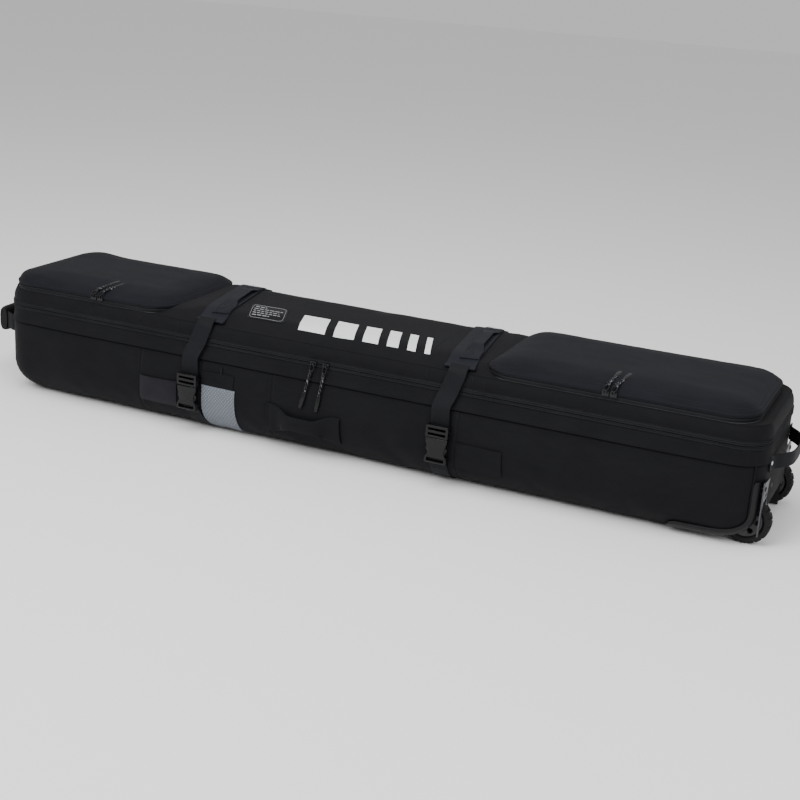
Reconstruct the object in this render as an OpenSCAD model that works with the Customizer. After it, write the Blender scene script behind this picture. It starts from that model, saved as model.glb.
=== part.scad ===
// Wheeled snowboard bag: a padded tub with a zipped lid, two top pockets, two
// compression straps with side-release buckles and two wheels at one end.
// +X points to the wheel end, -Y is the front, +Y is the hinge side, +Z is up.
// The origin is the centre of the flat base, on the ground. Millimetres.

/* [Body] */
// Length of the padded body without handles and wheels
body_l = 1660; // [1560:10:1760]
// Width of the body at the zip
body_w = 322; // [310:2:340]
// Radius of the upright corners seen from above
corner_r = 60; // [50:2:66]
// How far the front and rear walls swell out at mid height
swell = 13; // [6:1:14]
// Height of the main zip's centre line
zip_z = 195; // [192:1:198]
// Height of the middle of the lid
lid_top_z = 247; // [244:1:250]
// Padded wall thickness of the tub
wall_t = 9; // [7:1:10]
// Padded wall thickness of the lid
lid_t = 7; // [6:1:8]

/* [Pockets] */
// Height of the crown of the pocket flaps
pocket_top_z = 262; // [258:1:266]
// Depth of both pockets from front to rear
pocket_w = 306; // [296:2:308]
// Length of the pocket at the nose end
left_pocket_l = 405; // [380:5:410]
// Length of the pocket at the wheel end
right_pocket_l = 515; // [480:5:520]
// Wall thickness of the pocket flaps
flap_t = 3; // [2.5:0.5:4]

/* [Straps and buckles] */
// Width of the compression webbing
strap_w = 38; // [36:1:38]
// Thickness of the webbing
strap_t = 2.4; // [2:0.2:2.6]
// Width of the sewn band across the lid
band_w = 60; // [50:2:62]
// Outside width of the side-release buckle
buckle_w = 46; // [44:1:48]
// How far the tongue lifts out of its socket
release_travel = 30; // [20:1:30]

/* [Wheels] */
// Outer radius of the tyre
wheel_r = 45.3; // [44:0.1:46]
// Width of the tyre
wheel_w = 28; // [26:0.5:28]
// Distance from the bag's middle plane to each wheel's middle
wheel_y = 114.5; // [113:0.5:115]
// Radius of the axle
axle_r = 4; // [3.5:0.5:4]

/* [Zip sliders] */
// Length of the pulls on the main zip
main_pull_l = 94; // [80:1:95]
// Length of the pulls on the pocket zips
pocket_pull_l = 82; // [60:1:85]

/* [Hidden] */
$fn = 64;
eps = 0.5;

black_fabric = [0.12, 0.12, 0.13];
top_fabric = [0.14, 0.14, 0.17];
webbing = [0.10, 0.10, 0.12];
black_plastic = [0.05, 0.05, 0.06];
grey_metal = [0.70, 0.71, 0.73];
reflective_grey = [0.62, 0.64, 0.67];

// body heights and halves
half_w = body_w / 2;
half_l = body_l / 2;
split_gap = 0.8;
tub_rim_z = zip_z - split_gap / 2;
lid_rim_z = zip_z + split_gap / 2;
tape_h = 8.6;
tape_t = 4;
rear_strip_x = 690;
rear_strip_y = 140;
lid_edge_z = 231;
// rounding where the walls meet the base
foot_in = 58;
foot_h = 62;
base_l = body_l - 180;
base_w = body_w - 2 * foot_in;
base_t = 2;
board_t = 3;
swell_foot_z = 45;
swell_end = 130;

// pockets
pocket_r = 58;
seat_z = lid_edge_z + 1;
pocket_split_z = 239.9;
pocket_edge_z = 247;
pocket_gap = 1;
left_pocket_x = 10 - half_l + left_pocket_l / 2;
right_pocket_x = half_l - 27 - right_pocket_l / 2;
pocket_front_y = -pocket_w / 2;

// wheels and their mouldings
wheel_x = half_l - 24;
well_in_x = wheel_x - wheel_r - 5;
well_gap = 1.6;
guard_t = 3;
well_half_w = wheel_w / 2 + well_gap;
guard_top_z = 103;
rail_x0 = half_l - 150;
rail_w = 27;
rail_z0 = 3;
post_top_z = 128;
rail_out_y = half_w + 1;
rail_in_y = wheel_y + well_half_w + guard_t;
rail_bend_r = 38;
bracket_t = 2.5;
hub_r = 30;
bearing_r = 11;
bearing_w = 7;
shaft_play = 0.05;

// straps: x of the hem, x of the buckle, x where the webbing is sewn to the base
left_hem_x = -317;
left_buckle_x = -338;
left_foot_x = -325;
right_hem_x = 244;
right_buckle_x = 222;
right_foot_x = 222;
left_band_x = -346;
right_band_x = 215;
left_band_turn = 8;
right_band_turn = 6;
strap_mid_y = -half_w - 16.8;
socket_z0 = 60;
socket_z1 = 98;
ladder_z0 = 104;
ladder_z1 = 128;
buckle_back_y = strap_mid_y - 0.2;
buckle_d = 14;
tongue_mid_y = buckle_back_y - 9;
strap_lift_z = 165;
prong_t = 4;
prong_root_z = 101;
prong_tip_z = 70;

// handles
nose_axis_x = -half_l - 21;
nose_axis_z = 131;
nose_leg_y = 98;
nose_strap_h = 38;
grip_x = -half_l - 63;
wheel_handle_axis_x = half_l + 15.5;
wheel_handle_z = 154;
wheel_handle_leg_y = 106;
wheel_handle_h = 28;
handle_reach = 18;
handle_t = 3;

// zip sliders
main_slider_x = [-61, -33];
left_slider_x = [-592, -576];
right_slider_x = [531, 546];
slider_l = 13;
slider_h = 9;
slider_d = 5;
eye_out = slider_d + 3;
lug_x = 2.7;
eye_pin_r = 0.9;
pull_w = 9;
pull_t = 4;
// slope of the hanging main pulls, and how the pocket pulls rise and bend over the flaps
main_pull_slope = -6;
pocket_slider_z = 243.5;
pocket_eye_rise = 6.5;
pocket_pull_rise = 122;
pocket_pull_bend = 23;

// ---- shared shapes ----

// rounded rectangle seen from above
module plan(l, w, r) {
    square([l - 2 * r, w], center = true);
    square([l, w - 2 * r], center = true);
    for (sx = [-1, 1], sy = [-1, 1])
        translate([sx * (l / 2 - r), sy * (w / 2 - r)]) circle(r);
}

// rounded rectangle from one height to another
module slab(l, w, r, z0, z1) {
    translate([0, 0, z0]) linear_extrude(z1 - z0) plan(l, w, r);
}

// box between two corners
module block(low, high) {
    translate(low) cube(high - low);
}

// side profile in Y and Z, extruded along X about a middle plane
module across(x, w) {
    translate([x - w / 2, 0, 0]) rotate([90, 0, 90]) linear_extrude(w) children();
}

// outline in X and Z, extruded from y0 to y1
module along_y(y0, y1) {
    translate([0, y1, 0]) rotate([90, 0, 0]) linear_extrude(y1 - y0) children();
}

// how far the wall stands in from the body's side at a height near the base
function foot_inset(z, t) =
    let (u = (foot_h - min(z, foot_h)) / foot_h) foot_in * (1 - sqrt(1 - u * u)) + t;

// how far the wall swells out at a height
function swell_at(z) = swell * sin(180 * sqrt((z - swell_foot_z) / (zip_z - swell_foot_z)));

// distance of the front wall from the middle plane at a height, in the straight stretch
function wall_y(z) = half_w + (z < foot_h ? -foot_inset(z, 0) : swell_at(z));

// lid section: height, and how far the surface stands in from the side
lid_steps = [[lid_edge_z, 1], [240, 14], [245, 28], [lid_top_z, 48]];

// tub form, shrunk by a wall thickness
module tub_form(t) {
    foot_steps = [0, 4, 10, 20, 32, 46, foot_h];
    swell_steps = [62, 80, 100, 125, 150, 175];
    $fn = 48;
    hull() {
        for (z = foot_steps)
            let (i = foot_inset(z, t))
                slab(body_l - 2 * i, body_w - 2 * i, corner_r - t, z + t, z + t + 0.1);
        slab(body_l - 2 * t, body_w - 2 * t, corner_r - t, tub_rim_z - 0.1, tub_rim_z);
        for (z = swell_steps)
            let (s = swell_at(z))
                slab(body_l - 2 * swell_end, body_w + 2 * s - 2 * t, corner_r, z, z + 0.1);
    }
}

// lid form, shrunk by a wall thickness
module lid_form(t) {
    $fn = 48;
    hull() {
        slab(body_l - 2 * t, body_w - 2 * t, corner_r - t, lid_rim_z, lid_rim_z + 0.1);
        for (s = lid_steps)
            slab(body_l - 2 * (t + 1.4 * s[1]), body_w - 2 * (t + s[1]), corner_r - t,
                s[0] - t - 0.1, s[0] - t);
    }
}

// everything above or below the zip except the uncut strip along the rear
module outside_rear_strip(z0, z1) {
    block([-half_l - 20, -half_w - 20, z0], [half_l + 20, rear_strip_y, z1]);
    block([-half_l - 20, rear_strip_y - eps, z0], [-rear_strip_x, half_w + 20, z1]);
    block([rear_strip_x, rear_strip_y - eps, z0], [half_l + 20, half_w + 20, z1]);
}

// zip tape round the front and both ends
module zip_tape(z0, z1) {
    intersection() {
        difference() {
            slab(body_l, body_w, corner_r, z0, z1);
            slab(body_l - 2 * tape_t, body_w - 2 * tape_t, corner_r - tape_t, z0 - 1, z1 + 1);
        }
        outside_rear_strip(z0, z1);
    }
}

// box that a wheel's moulding takes up at the lower corner
module guard_envelope(side) {
    for_side(side) {
        block([well_in_x - guard_t, -wheel_y - well_half_w - guard_t, -1],
            [half_l + 5, -wheel_y + well_half_w + guard_t, guard_top_z]);
        along_y(-rail_out_y - 20, -rail_in_y) rail_outline();
        block([rail_x0, -rail_out_y - 20, -1], [half_l + 5, -rail_in_y, rail_z0]);
    }
}

// front parts are drawn at -Y; the rear ones are their mirror image
module for_side(side) {
    if (side < 0)
        children();
    else
        mirror([0, 1, 0]) children();
}

// ---- tub ----

module tub_shell() {
    color(black_fabric)
        difference() {
            tub_form(0);
            tub_form(wall_t);
            slab(body_l - 2 * wall_t, body_w - 2 * wall_t, corner_r - wall_t,
                tub_rim_z - 20, tub_rim_z + 1);
            outside_rear_strip(tub_rim_z - tape_h, tub_rim_z + 1);
            slab(base_l, base_w, 30, -1, base_t);
            guard_envelope(-1);
            guard_envelope(1);
            screw_holes(2.2);
            rivet_holes(3.2);
        }
}

module base_panel() {
    color(black_plastic) slab(base_l, base_w, 30, 0, base_t);
}

module base_board() {
    color([0.8, 0.8, 0.78])
        slab(base_l - 60, base_w - 20, 20, wall_t + 0.1, wall_t + 0.1 + board_t);
}

module tub_zip_tape() {
    color(webbing) zip_tape(tub_rim_z - tape_h, tub_rim_z);
}

// ---- wheels ----

// L-shaped rail outline: along the base, round the bend and up the corner
module rail_outline() {
    bend_x = half_l - rail_bend_r;
    bend_z = rail_z0 + rail_bend_r;
    translate([rail_x0, rail_z0]) square([bend_x - rail_x0, rail_w]);
    translate([half_l - rail_w, bend_z]) square([rail_w, post_top_z - bend_z]);
    translate([bend_x, bend_z])
        difference() {
            intersection() {
                circle(rail_bend_r);
                translate([0, -rail_bend_r]) square(rail_bend_r);
            }
            circle(rail_bend_r - rail_w);
        }
}

module wheel_guard(side) {
    color(black_plastic)
        for_side(side)
            difference() {
                union() {
                    along_y(-rail_out_y, -rail_in_y) rail_outline();
                    block([well_in_x - guard_t, -wheel_y - well_half_w - guard_t, 3],
                        [half_l - 0.3, -wheel_y + well_half_w + guard_t, guard_top_z]);
                }
                block([well_in_x, -wheel_y - well_half_w, -1],
                    [half_l + 1, -wheel_y + well_half_w, guard_top_z - guard_t]);
                translate([wheel_x, -wheel_y, wheel_r]) rotate([90, 0, 0])
                    cylinder(r = axle_r + shaft_play, h = 2 * (well_half_w + guard_t) + 0.1,
                        center = true);
                screw_holes(1.9);
            }
}

module wheel_bracket(side) {
    color(grey_metal)
        for_side(side)
            difference() {
                translate([half_l + 0.2, 0, 0]) rotate([90, 0, 90]) linear_extrude(bracket_t)
                    difference() {
                        polygon([[-158, 24], [-158, 126], [-150, 128], [-52, 116], [-46, 108],
                            [-50, 84], [-88, 52], [-96, 52], [-96, 88], [-133, 88], [-133, 24]]);
                        polygon([[-126, 93], [-104, 93], [-108, 103]]);
                    }
                screw_holes(2.2);
            }
}

// screw places on the front bracket, as y and z
screw_yz = [[-68, 101], [-144, 113]];

module screw_holes(r) {
    for (side = [-1, 1], s = screw_yz)
        for_side(side)
            translate([half_l - 14, s[0], s[1]]) rotate([0, 90, 0]) cylinder(r = r, h = 30);
}

module bracket_screws() {
    color(black_plastic)
        for (side = [-1, 1], s = screw_yz)
            for_side(side)
                translate([half_l, s[0], s[1]]) rotate([0, 90, 0]) {
                    translate([0, 0, -12]) cylinder(r = 1.85, h = 13);
                    translate([0, 0, 0.2 + bracket_t]) cylinder(r = 4.2, h = 2.2);
                    cylinder(r = 1.85, h = bracket_t + 1);
                }
}

module wheel_axles() {
    color(grey_metal)
        for (side = [-1, 1])
            translate([wheel_x, side * wheel_y, wheel_r]) rotate([90, 0, 0]) {
                cylinder(r = axle_r, h = 2 * (well_half_w + guard_t), center = true);
                for (end = [-1, 1])
                    translate([0, 0, end * (well_half_w - 0.9)])
                        cylinder(r = axle_r + 2, h = 1.2, center = true);
            }
}

module wheel_tyre(side) {
    shoulder = 7;
    tread_d = 3;
    color(black_plastic)
        translate([wheel_x, side * wheel_y, wheel_r]) rotate([90, 0, 0])
            difference() {
                rotate_extrude()
                    difference() {
                        union() {
                            translate([hub_r, -wheel_w / 2 + shoulder])
                                square([wheel_r - hub_r, wheel_w - 2 * shoulder]);
                            translate([hub_r, -wheel_w / 2])
                                square([wheel_r - hub_r - shoulder, wheel_w]);
                            for (e = [-1, 1])
                                translate([wheel_r - shoulder, e * (wheel_w / 2 - shoulder)])
                                    circle(shoulder);
                        }
                        translate([-1, -wheel_w]) square([hub_r + 1, 2 * wheel_w]);
                    }
                for (a = [0 : 20 : 340], e = [-1, 1])
                    rotate([0, 0, a + e * 5])
                        translate([wheel_r - tread_d, -2, e * (wheel_w / 4 + 3) - wheel_w / 4])
                            cube([10, 4, wheel_w / 2]);
            }
}

module wheel_hub(side) {
    hub_w = 24;
    color([0.2, 0.2, 0.21])
        translate([wheel_x, side * wheel_y, wheel_r]) rotate([90, 0, 0])
            difference() {
                cylinder(r = hub_r - 0.01, h = hub_w, center = true);
                cylinder(r = bearing_r - 2.5, h = hub_w + 2, center = true);
                for (e = [-1, 1])
                    translate([0, 0, e * (hub_w - bearing_w) / 2])
                        cylinder(r = bearing_r, h = bearing_w + 0.02, center = true);
                for (a = [0 : 60 : 300])
                    rotate([0, 0, a]) translate([20, 0, 0])
                        cylinder(r = 5, h = hub_w + 2, center = true);
            }
}

module wheel_bearings(side) {
    hub_w = 24;
    color(grey_metal)
        translate([wheel_x, side * wheel_y, wheel_r]) rotate([90, 0, 0])
            for (e = [-1, 1])
                translate([0, 0, e * (hub_w - bearing_w) / 2])
                    difference() {
                        cylinder(r = bearing_r - 0.01, h = bearing_w, center = true);
                        cylinder(r = axle_r + shaft_play, h = bearing_w + 2, center = true);
                    }
}

// ---- handles ----

// sewn tab that a handle's webbing swings in, hollowed to clear the round webbing end
module handle_tab(axis_x, axis_z, leg_y, h, face_x) {
    reach = 0.4 * (axis_x - face_x);
    difference() {
        translate([min(face_x + reach, face_x), leg_y - handle_t, axis_z - h / 2])
            cube([abs(reach), 2 * handle_t, h]);
        translate([axis_x, leg_y, axis_z]) rotate([90, 0, 0])
            cylinder(r = h / 2 + 0.4, h = 4 * handle_t, center = true);
    }
    translate([min(face_x, face_x + sign(axis_x - face_x)), leg_y - 12, axis_z - h / 2 - 2])
        cube([1, 24, h + 4]);
}

module handle_tabs() {
    color(webbing)
        difference() {
            union()
                for (side = [-1, 1]) {
                    handle_tab(nose_axis_x, nose_axis_z, side * nose_leg_y, nose_strap_h, -half_l);
                    handle_tab(wheel_handle_axis_x, wheel_handle_z, side * wheel_handle_leg_y,
                        wheel_handle_h, half_l);
                }
            rivet_holes(3.2);
        }
}

// a rivet through each tab of the wheel-end handle
module rivet_holes(r) {
    for (side = [-1, 1])
        translate([half_l - 12, side * (wheel_handle_leg_y - 8), wheel_handle_z]) rotate([0, 90, 0])
            cylinder(r = r, h = 16);
}

module handle_rivets() {
    color(grey_metal)
        for (side = [-1, 1])
            translate([half_l, side * (wheel_handle_leg_y - 8), wheel_handle_z])
                rotate([0, 90, 0]) {
                    translate([0, 0, -wall_t]) cylinder(r = 3.15, h = wall_t + 1);
                    translate([0, 0, 1]) cylinder(r = 4.4, h = 1.2);
                }
}

// U-shaped webbing loop: round ends on the swing axis, legs and a cross piece
module handle_loop(axis_x, axis_z, leg_y, h, out, reach) {
    for (side = [-1, 1]) {
        translate([axis_x, side * leg_y, axis_z]) rotate([90, 0, 0])
            cylinder(r = h / 2, h = handle_t, center = true);
        translate([min(axis_x, axis_x + out * reach), side * leg_y - handle_t / 2, axis_z - h / 2])
            cube([reach, handle_t, h]);
    }
    translate([axis_x + out * reach - handle_t / 2, -leg_y - handle_t / 2, axis_z - h / 2])
        cube([handle_t, 2 * leg_y + handle_t, h]);
}

module wheel_end_handle() {
    color(webbing)
        handle_loop(wheel_handle_axis_x, wheel_handle_z, wheel_handle_leg_y, wheel_handle_h,
            1, handle_reach);
}

module nose_handle() {
    color(webbing)
        handle_loop(nose_axis_x, nose_axis_z, nose_leg_y, nose_strap_h, -1,
            abs(grip_x - nose_axis_x));
}

module nose_grip() {
    grip_h = 58;
    grip_d = 22;
    color(black_plastic)
        difference() {
            translate([grip_x, 0, nose_axis_z]) rotate([90, 0, 0])
                linear_extrude(2 * nose_leg_y - 26, center = true) {
                    square([grip_d, grip_h - grip_d], center = true);
                    for (e = [-1, 1])
                        translate([0, e * (grip_h - grip_d) / 2]) circle(grip_d / 2);
                }
            block([grip_x - handle_t / 2, -nose_leg_y, nose_axis_z - nose_strap_h / 2],
                [grip_x + handle_t / 2, nose_leg_y, nose_axis_z + nose_strap_h / 2]);
        }
}

// bowed fabric handle on the front wall
module side_handle() {
    side_y = -half_w - swell - 0.5;
    mid_x = -73;
    bow = 11;
    t = 2.5;
    color(webbing) {
        for (e = [-1, 1])
            front_patch(mid_x + e * 68 - 16, mid_x + e * 68 + 16, 42, 96, t);
        translate([mid_x, 0, 55]) linear_extrude(26)
            polygon([[-56, side_y - t], [-40, side_y - bow], [40, side_y - bow],
                [56, side_y - t], [56, side_y], [52, side_y], [38, side_y - bow + t],
                [-38, side_y - bow + t], [-52, side_y], [-56, side_y]]);
    }
}

// ---- panels sewn on the front ----

// thin sheet that follows the swell of the front wall
module front_patch(x0, x1, z0, z1, t) {
    steps = [10, 20, 32, 62, 80, 100, 125, 150];
    outer = [for (z = steps) [-wall_y(z) - t - 0.3, z]];
    inner = [for (i = [len(steps) - 1 : -1 : 0]) [-wall_y(steps[i]) - 0.3, steps[i]]];
    intersection() {
        across((x0 + x1) / 2, x1 - x0) polygon(concat(outer, inner));
        block([x0, -half_w - 30, z0], [x1, 0, z1]);
    }
}

module reflective_patch() {
    color(reflective_grey) front_patch(-305, -236, 14, 105, 1);
}

module side_patch() {
    color(black_plastic) front_patch(257, 352, 44, 98, 1);
}

module id_pocket() {
    color(top_fabric) front_patch(-464, -372, 48, 101, 1);
}

// ---- inside ----

tie_down_x = [-350, 350];
tie_down_reach = 90;

module tie_down_straps() {
    color(webbing)
        for (x = tie_down_x)
            block([x - 12.5, -tie_down_reach, wall_t + board_t + 0.2],
                [x + 12.5, tie_down_reach, wall_t + board_t + 2.2]);
}

module tie_down_buckles() {
    strap_top = wall_t + board_t + 2.2;
    color(black_plastic)
        for (x = tie_down_x)
            difference() {
                block([x - 17, -18, strap_top], [x + 17, 18, strap_top + 7]);
                block([x - 13, -12, strap_top - 1], [x + 13, -4, strap_top + 8]);
                block([x - 13, 4, strap_top - 1], [x + 13, 12, strap_top + 8]);
            }
}

// ---- compression straps ----

// webbing ribbon across X along a chain of points
module ribbon(points, w) {
    for (i = [1 : len(points) - 1])
        hull()
            for (p = [points[i - 1], points[i]])
                translate(p) rotate([0, 90, 0]) cylinder(r = strap_t / 2, h = w, center = true, $fn = 16);
}

// webbing that comes up from the base to the socket
module lower_strap(buckle_x, foot_x) {
    color(webbing)
        ribbon([[buckle_x, strap_mid_y, socket_z0 + 6], [buckle_x, strap_mid_y, socket_z0 - 5],
            [buckle_x, -170.5, 47], [(buckle_x + foot_x) / 2, -150, 20], [foot_x, -135.5, 7],
            [foot_x, -121, 1.4]], strap_w);
}

module buckle_socket(x) {
    color(black_plastic)
        difference() {
            block([x - buckle_w / 2, buckle_back_y - buckle_d, socket_z0 - 8],
                [x + buckle_w / 2, buckle_back_y, socket_z1]);
            // mouth for the tongue and its prongs
            block([x - 19, tongue_mid_y - 3, socket_z0 + 6], [x + 19, tongue_mid_y + 3, socket_z1 + 1]);
            // side windows for the prong tips
            block([x - buckle_w, tongue_mid_y - 3, socket_z0 + 8],
                [x + buckle_w, tongue_mid_y + 3, socket_z1 + 1]);
            // webbing slot
            block([x - strap_w / 2 - 1, buckle_back_y - 3, socket_z0 - 9],
                [x + strap_w / 2 + 1, buckle_back_y + 1, socket_z0 + 8]);
        }
}

module buckle_tongue(x) {
    slot_y0 = strap_mid_y - strap_t / 2 - 0.8;
    slot_y1 = strap_mid_y + strap_t / 2 + 0.6;
    front_y = buckle_back_y - buckle_d;
    color(black_plastic)
        difference() {
            union() {
                block([x - buckle_w / 2, front_y, ladder_z0],
                    [x + buckle_w / 2, slot_y1 + 1.2, ladder_z1]);
                block([x - 6, tongue_mid_y - 2.4, socket_z0 + 12],
                    [x + 6, tongue_mid_y + 2.4, ladder_z0]);
            }
            block([x - strap_w / 2 - 1.2, slot_y0, ladder_z0 - 1],
                [x + strap_w / 2 + 1.2, slot_y1, ladder_z1 + 1]);
            for (z = [ladder_z0 + 4, ladder_z0 + 14])
                block([x - 18, front_y - 1, z], [x + 18, slot_y0 + 1, z + 5]);
        }
}

// sprung arm that clicks into the socket's side window
module prong(x, side) {
    color(black_plastic)
        along_y(tongue_mid_y - 2.2, tongue_mid_y + 2.2)
            translate([x, 0]) scale_side(side)
                polygon([[8, prong_root_z + 2.6], [8, prong_root_z - 3], [13, prong_tip_z + 12],
                    [13, prong_tip_z + 1], [17, prong_tip_z], [21.5, prong_tip_z + 9],
                    [21.5, prong_tip_z + 14], [17, prong_tip_z + 16], [14, prong_root_z - 3],
                    [14, prong_root_z + 2.6]]);
}

module scale_side(side) {
    if (side > 0)
        children();
    else
        mirror([1, 0]) children();
}

// webbing that drops from the lid's hem through the tongue
module drop_strap(hem_x, buckle_x) {
    dx = buckle_x - hem_x;
    color(webbing)
        ribbon([[hem_x, -half_w + 9.8, 239.2], [hem_x, -half_w - 0.8, 232.4],
            [hem_x + 0.15 * dx, -half_w - 2.6, 226], [hem_x + 0.4 * dx, -half_w - 2.8, 205],
            [buckle_x, strap_mid_y, strap_lift_z], [buckle_x, strap_mid_y, ladder_z0 + 2]], strap_w);
}

// ---- lid ----

module lid_shell() {
    color(black_fabric)
        difference() {
            lid_form(0);
            hull() {
                slab(body_l - 2 * lid_t, body_w - 2 * lid_t, corner_r - lid_t, lid_rim_z - 1, 224);
                slab(body_l - 60, body_w - 60, corner_r - 20, 224, 225);
            }
            intersection() {
                lid_form(lid_t);
                block([-390, -half_w, lid_rim_z - 2], [265, half_w, lid_top_z]);
            }
            outside_rear_strip(lid_rim_z - 1, lid_rim_z + tape_h);
            pocket_seat(left_pocket_x, left_pocket_l);
            pocket_seat(right_pocket_x, right_pocket_l);
        }
}

module pocket_seat(x, l) {
    translate([x, 0, 0])
        slab(l + 2 * pocket_gap, pocket_w + 2 * pocket_gap, pocket_r, seat_z, seat_z + 40);
}

module lid_zip_tape() {
    color(webbing) zip_tape(lid_rim_z, lid_rim_z + tape_h);
}

module top_band(x, turn) {
    steps = [for (i = [1 : len(lid_steps) - 1]) lid_steps[i]];
    front = [for (s = steps) let (y = s[1] - half_w - 1) [x - y * tan(turn), y, s[0] + 1.4]];
    rear = [for (i = [len(steps) - 1 : -1 : 0]) [2 * x - front[i][0], -front[i][1], front[i][2]]];
    color(webbing) ribbon(concat(front, rear), band_w);
}

module top_label() {
    color([0.08, 0.08, 0.09])
        block([-290, -100, lid_top_z + 0.2], [-200, -40, lid_top_z + 1.2]);
}

module pocket_band(x, l) {
    color(webbing)
        translate([x, 0, 0])
            difference() {
                slab(l, pocket_w, pocket_r, seat_z, pocket_split_z - 0.2);
                slab(l - 2 * flap_t, pocket_w - 2 * flap_t, pocket_r - flap_t, seat_z - 1,
                    pocket_split_z + 1);
            }
}

module flap_form(l, t, z0) {
    $fn = 48;
    rise = pocket_top_z - pocket_edge_z;
    hull() {
        slab(l - 2 * t, pocket_w - 2 * t, pocket_r - t, z0, pocket_edge_z - t);
        for (s = [[0.5, 8], [0.85, 24], [1, 48]])
            slab(l - 2 * (t + s[1]), pocket_w - 2 * (t + s[1]), pocket_r - t - 8,
                pocket_edge_z + rise * s[0] - t - 0.1, pocket_edge_z + rise * s[0] - t);
    }
}

module pocket_flap(x, l) {
    color(top_fabric)
        translate([x, 0, 0])
            difference() {
                flap_form(l, 0, pocket_split_z + 0.2);
                flap_form(l, flap_t, pocket_split_z - 1);
            }
}

// ---- zip sliders and pulls ----

// slider body with an eye in front of it; y is the face it rides on
module slider(x, y, z, eye_rise) {
    eye_y = y - eye_out;
    color(grey_metal) {
        block([x - slider_l / 2, y - slider_d, z - slider_h / 2],
            [x + slider_l / 2, y - 0.5, z + slider_h / 2]);
        for (e = [-1, 1])
            block([x + e * lug_x - 0.8, eye_y - 2, z + eye_rise / 2 - 2.5],
                [x + e * lug_x + 0.8, y - slider_d + 0.5, z + eye_rise + 2]);
        translate([x, eye_y, z + eye_rise]) rotate([0, 90, 0])
            cylinder(r = eye_pin_r, h = 2 * lug_x + 1.6, center = true);
    }
}

// pull hanging along -Z from its eye: a ring, a loop of cord and a moulded tip
module pull(l, lean, bend) {
    neck = 5;
    knee = 20;
    loop_end = l * 0.55;
    difference() {
        union() {
            rotate([0, 90, 0]) cylinder(r = 2.4, h = 3, center = true);
            block([-1.5, -1.5, -neck - 1], [1.5, 1.5, 0]);
            translate([0, 0, -neck]) rotate([0, lean, 0]) {
                block([-pull_w / 2, -pull_t / 2, neck - knee], [pull_w / 2, pull_t / 2, 0]);
                translate([0, 0, neck - knee]) rotate([bend, 0, 0])
                    block([-pull_w / 2, -pull_t / 2, knee - l], [pull_w / 2, pull_t / 2, eps]);
            }
        }
        rotate([0, 90, 0]) cylinder(r = eye_pin_r + shaft_play, h = 20, center = true);
        translate([0, 0, -neck]) rotate([0, lean, 0]) translate([0, 0, neck - knee]) rotate([bend, 0, 0])
            block([2.5 - pull_w / 2, -pull_t, knee - loop_end], [pull_w / 2 - 2.5, pull_t, -2]);
    }
}

module main_slider(i) {
    slider(main_slider_x[i], -half_w, zip_z, 0);
}

module main_pull(i) {
    lean = [11, 6];
    color(black_plastic)
        translate([main_slider_x[i], -half_w - eye_out, zip_z]) rotate([main_pull_slope, 0, 0])
            pull(main_pull_l, lean[i], 0);
}

module pocket_slider(x) {
    slider(x, pocket_front_y, pocket_slider_z, pocket_eye_rise);
}

module pocket_pull(x, lean) {
    color(black_plastic)
        translate([x, pocket_front_y - eye_out, pocket_slider_z + pocket_eye_rise])
            rotate([pocket_pull_rise, 0, 0]) pull(pocket_pull_l, lean, -pocket_pull_bend);
}

// ---- nodes ----

tub_shell();
base_panel();
base_board();
tub_zip_tape();
wheel_guard(-1);  // front_wheel_guard
wheel_guard(1);  // rear_wheel_guard
wheel_bracket(-1);  // front_wheel_bracket
wheel_bracket(1);  // rear_wheel_bracket
bracket_screws();
wheel_axles();
wheel_tyre(-1);  // front_wheel_tyre
wheel_hub(-1);  // front_wheel_hub
wheel_bearings(-1);  // front_wheel_bearings
wheel_tyre(1);  // rear_wheel_tyre
wheel_hub(1);  // rear_wheel_hub
wheel_bearings(1);  // rear_wheel_bearings
handle_tabs();
handle_rivets();
wheel_end_handle();
nose_handle();
nose_grip();
side_handle();
reflective_patch();
side_patch();
id_pocket();
tie_down_straps();
tie_down_buckles();
lower_strap(left_buckle_x, left_foot_x);  // left_lower_strap
lower_strap(right_buckle_x, right_foot_x);  // right_lower_strap
buckle_socket(left_buckle_x);  // left_buckle_socket
buckle_socket(right_buckle_x);  // right_buckle_socket
lid_shell();
lid_zip_tape();
pocket_band(left_pocket_x, left_pocket_l);  // left_pocket_band
pocket_band(right_pocket_x, right_pocket_l);  // right_pocket_band
top_band(left_band_x, left_band_turn);  // left_top_band
top_band(right_band_x, right_band_turn);  // right_top_band
drop_strap(left_hem_x, left_buckle_x);  // left_drop_strap
drop_strap(right_hem_x, right_buckle_x);  // right_drop_strap
top_label();
buckle_tongue(left_buckle_x);  // left_buckle_tongue
buckle_tongue(right_buckle_x);  // right_buckle_tongue
prong(left_buckle_x, -1);  // left_prong_a
prong(left_buckle_x, 1);  // left_prong_b
prong(right_buckle_x, -1);  // right_prong_a
prong(right_buckle_x, 1);  // right_prong_b
pocket_flap(left_pocket_x, left_pocket_l);  // left_pocket_flap
pocket_flap(right_pocket_x, right_pocket_l);  // right_pocket_flap
main_slider(0);  // main_slider_left
main_slider(1);  // main_slider_right
main_pull(0);  // main_pull_left
main_pull(1);  // main_pull_right
pocket_slider(left_slider_x[0]);  // left_pocket_slider_a
pocket_slider(left_slider_x[1]);  // left_pocket_slider_b
pocket_pull(left_slider_x[0], -12);  // left_pocket_pull_a
pocket_pull(left_slider_x[1], -16);  // left_pocket_pull_b
pocket_slider(right_slider_x[0]);  // right_pocket_slider_a
pocket_slider(right_slider_x[1]);  // right_pocket_slider_b
pocket_pull(right_slider_x[0], -4);  // right_pocket_pull_a
pocket_pull(right_slider_x[1], -8);  // right_pocket_pull_b
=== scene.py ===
"""Soft shapes and finishes of a wheeled snowboard bag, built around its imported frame.

+X points to the wheel end, -Y is the front, +Z is up. Everything is in metres.
"""

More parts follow.
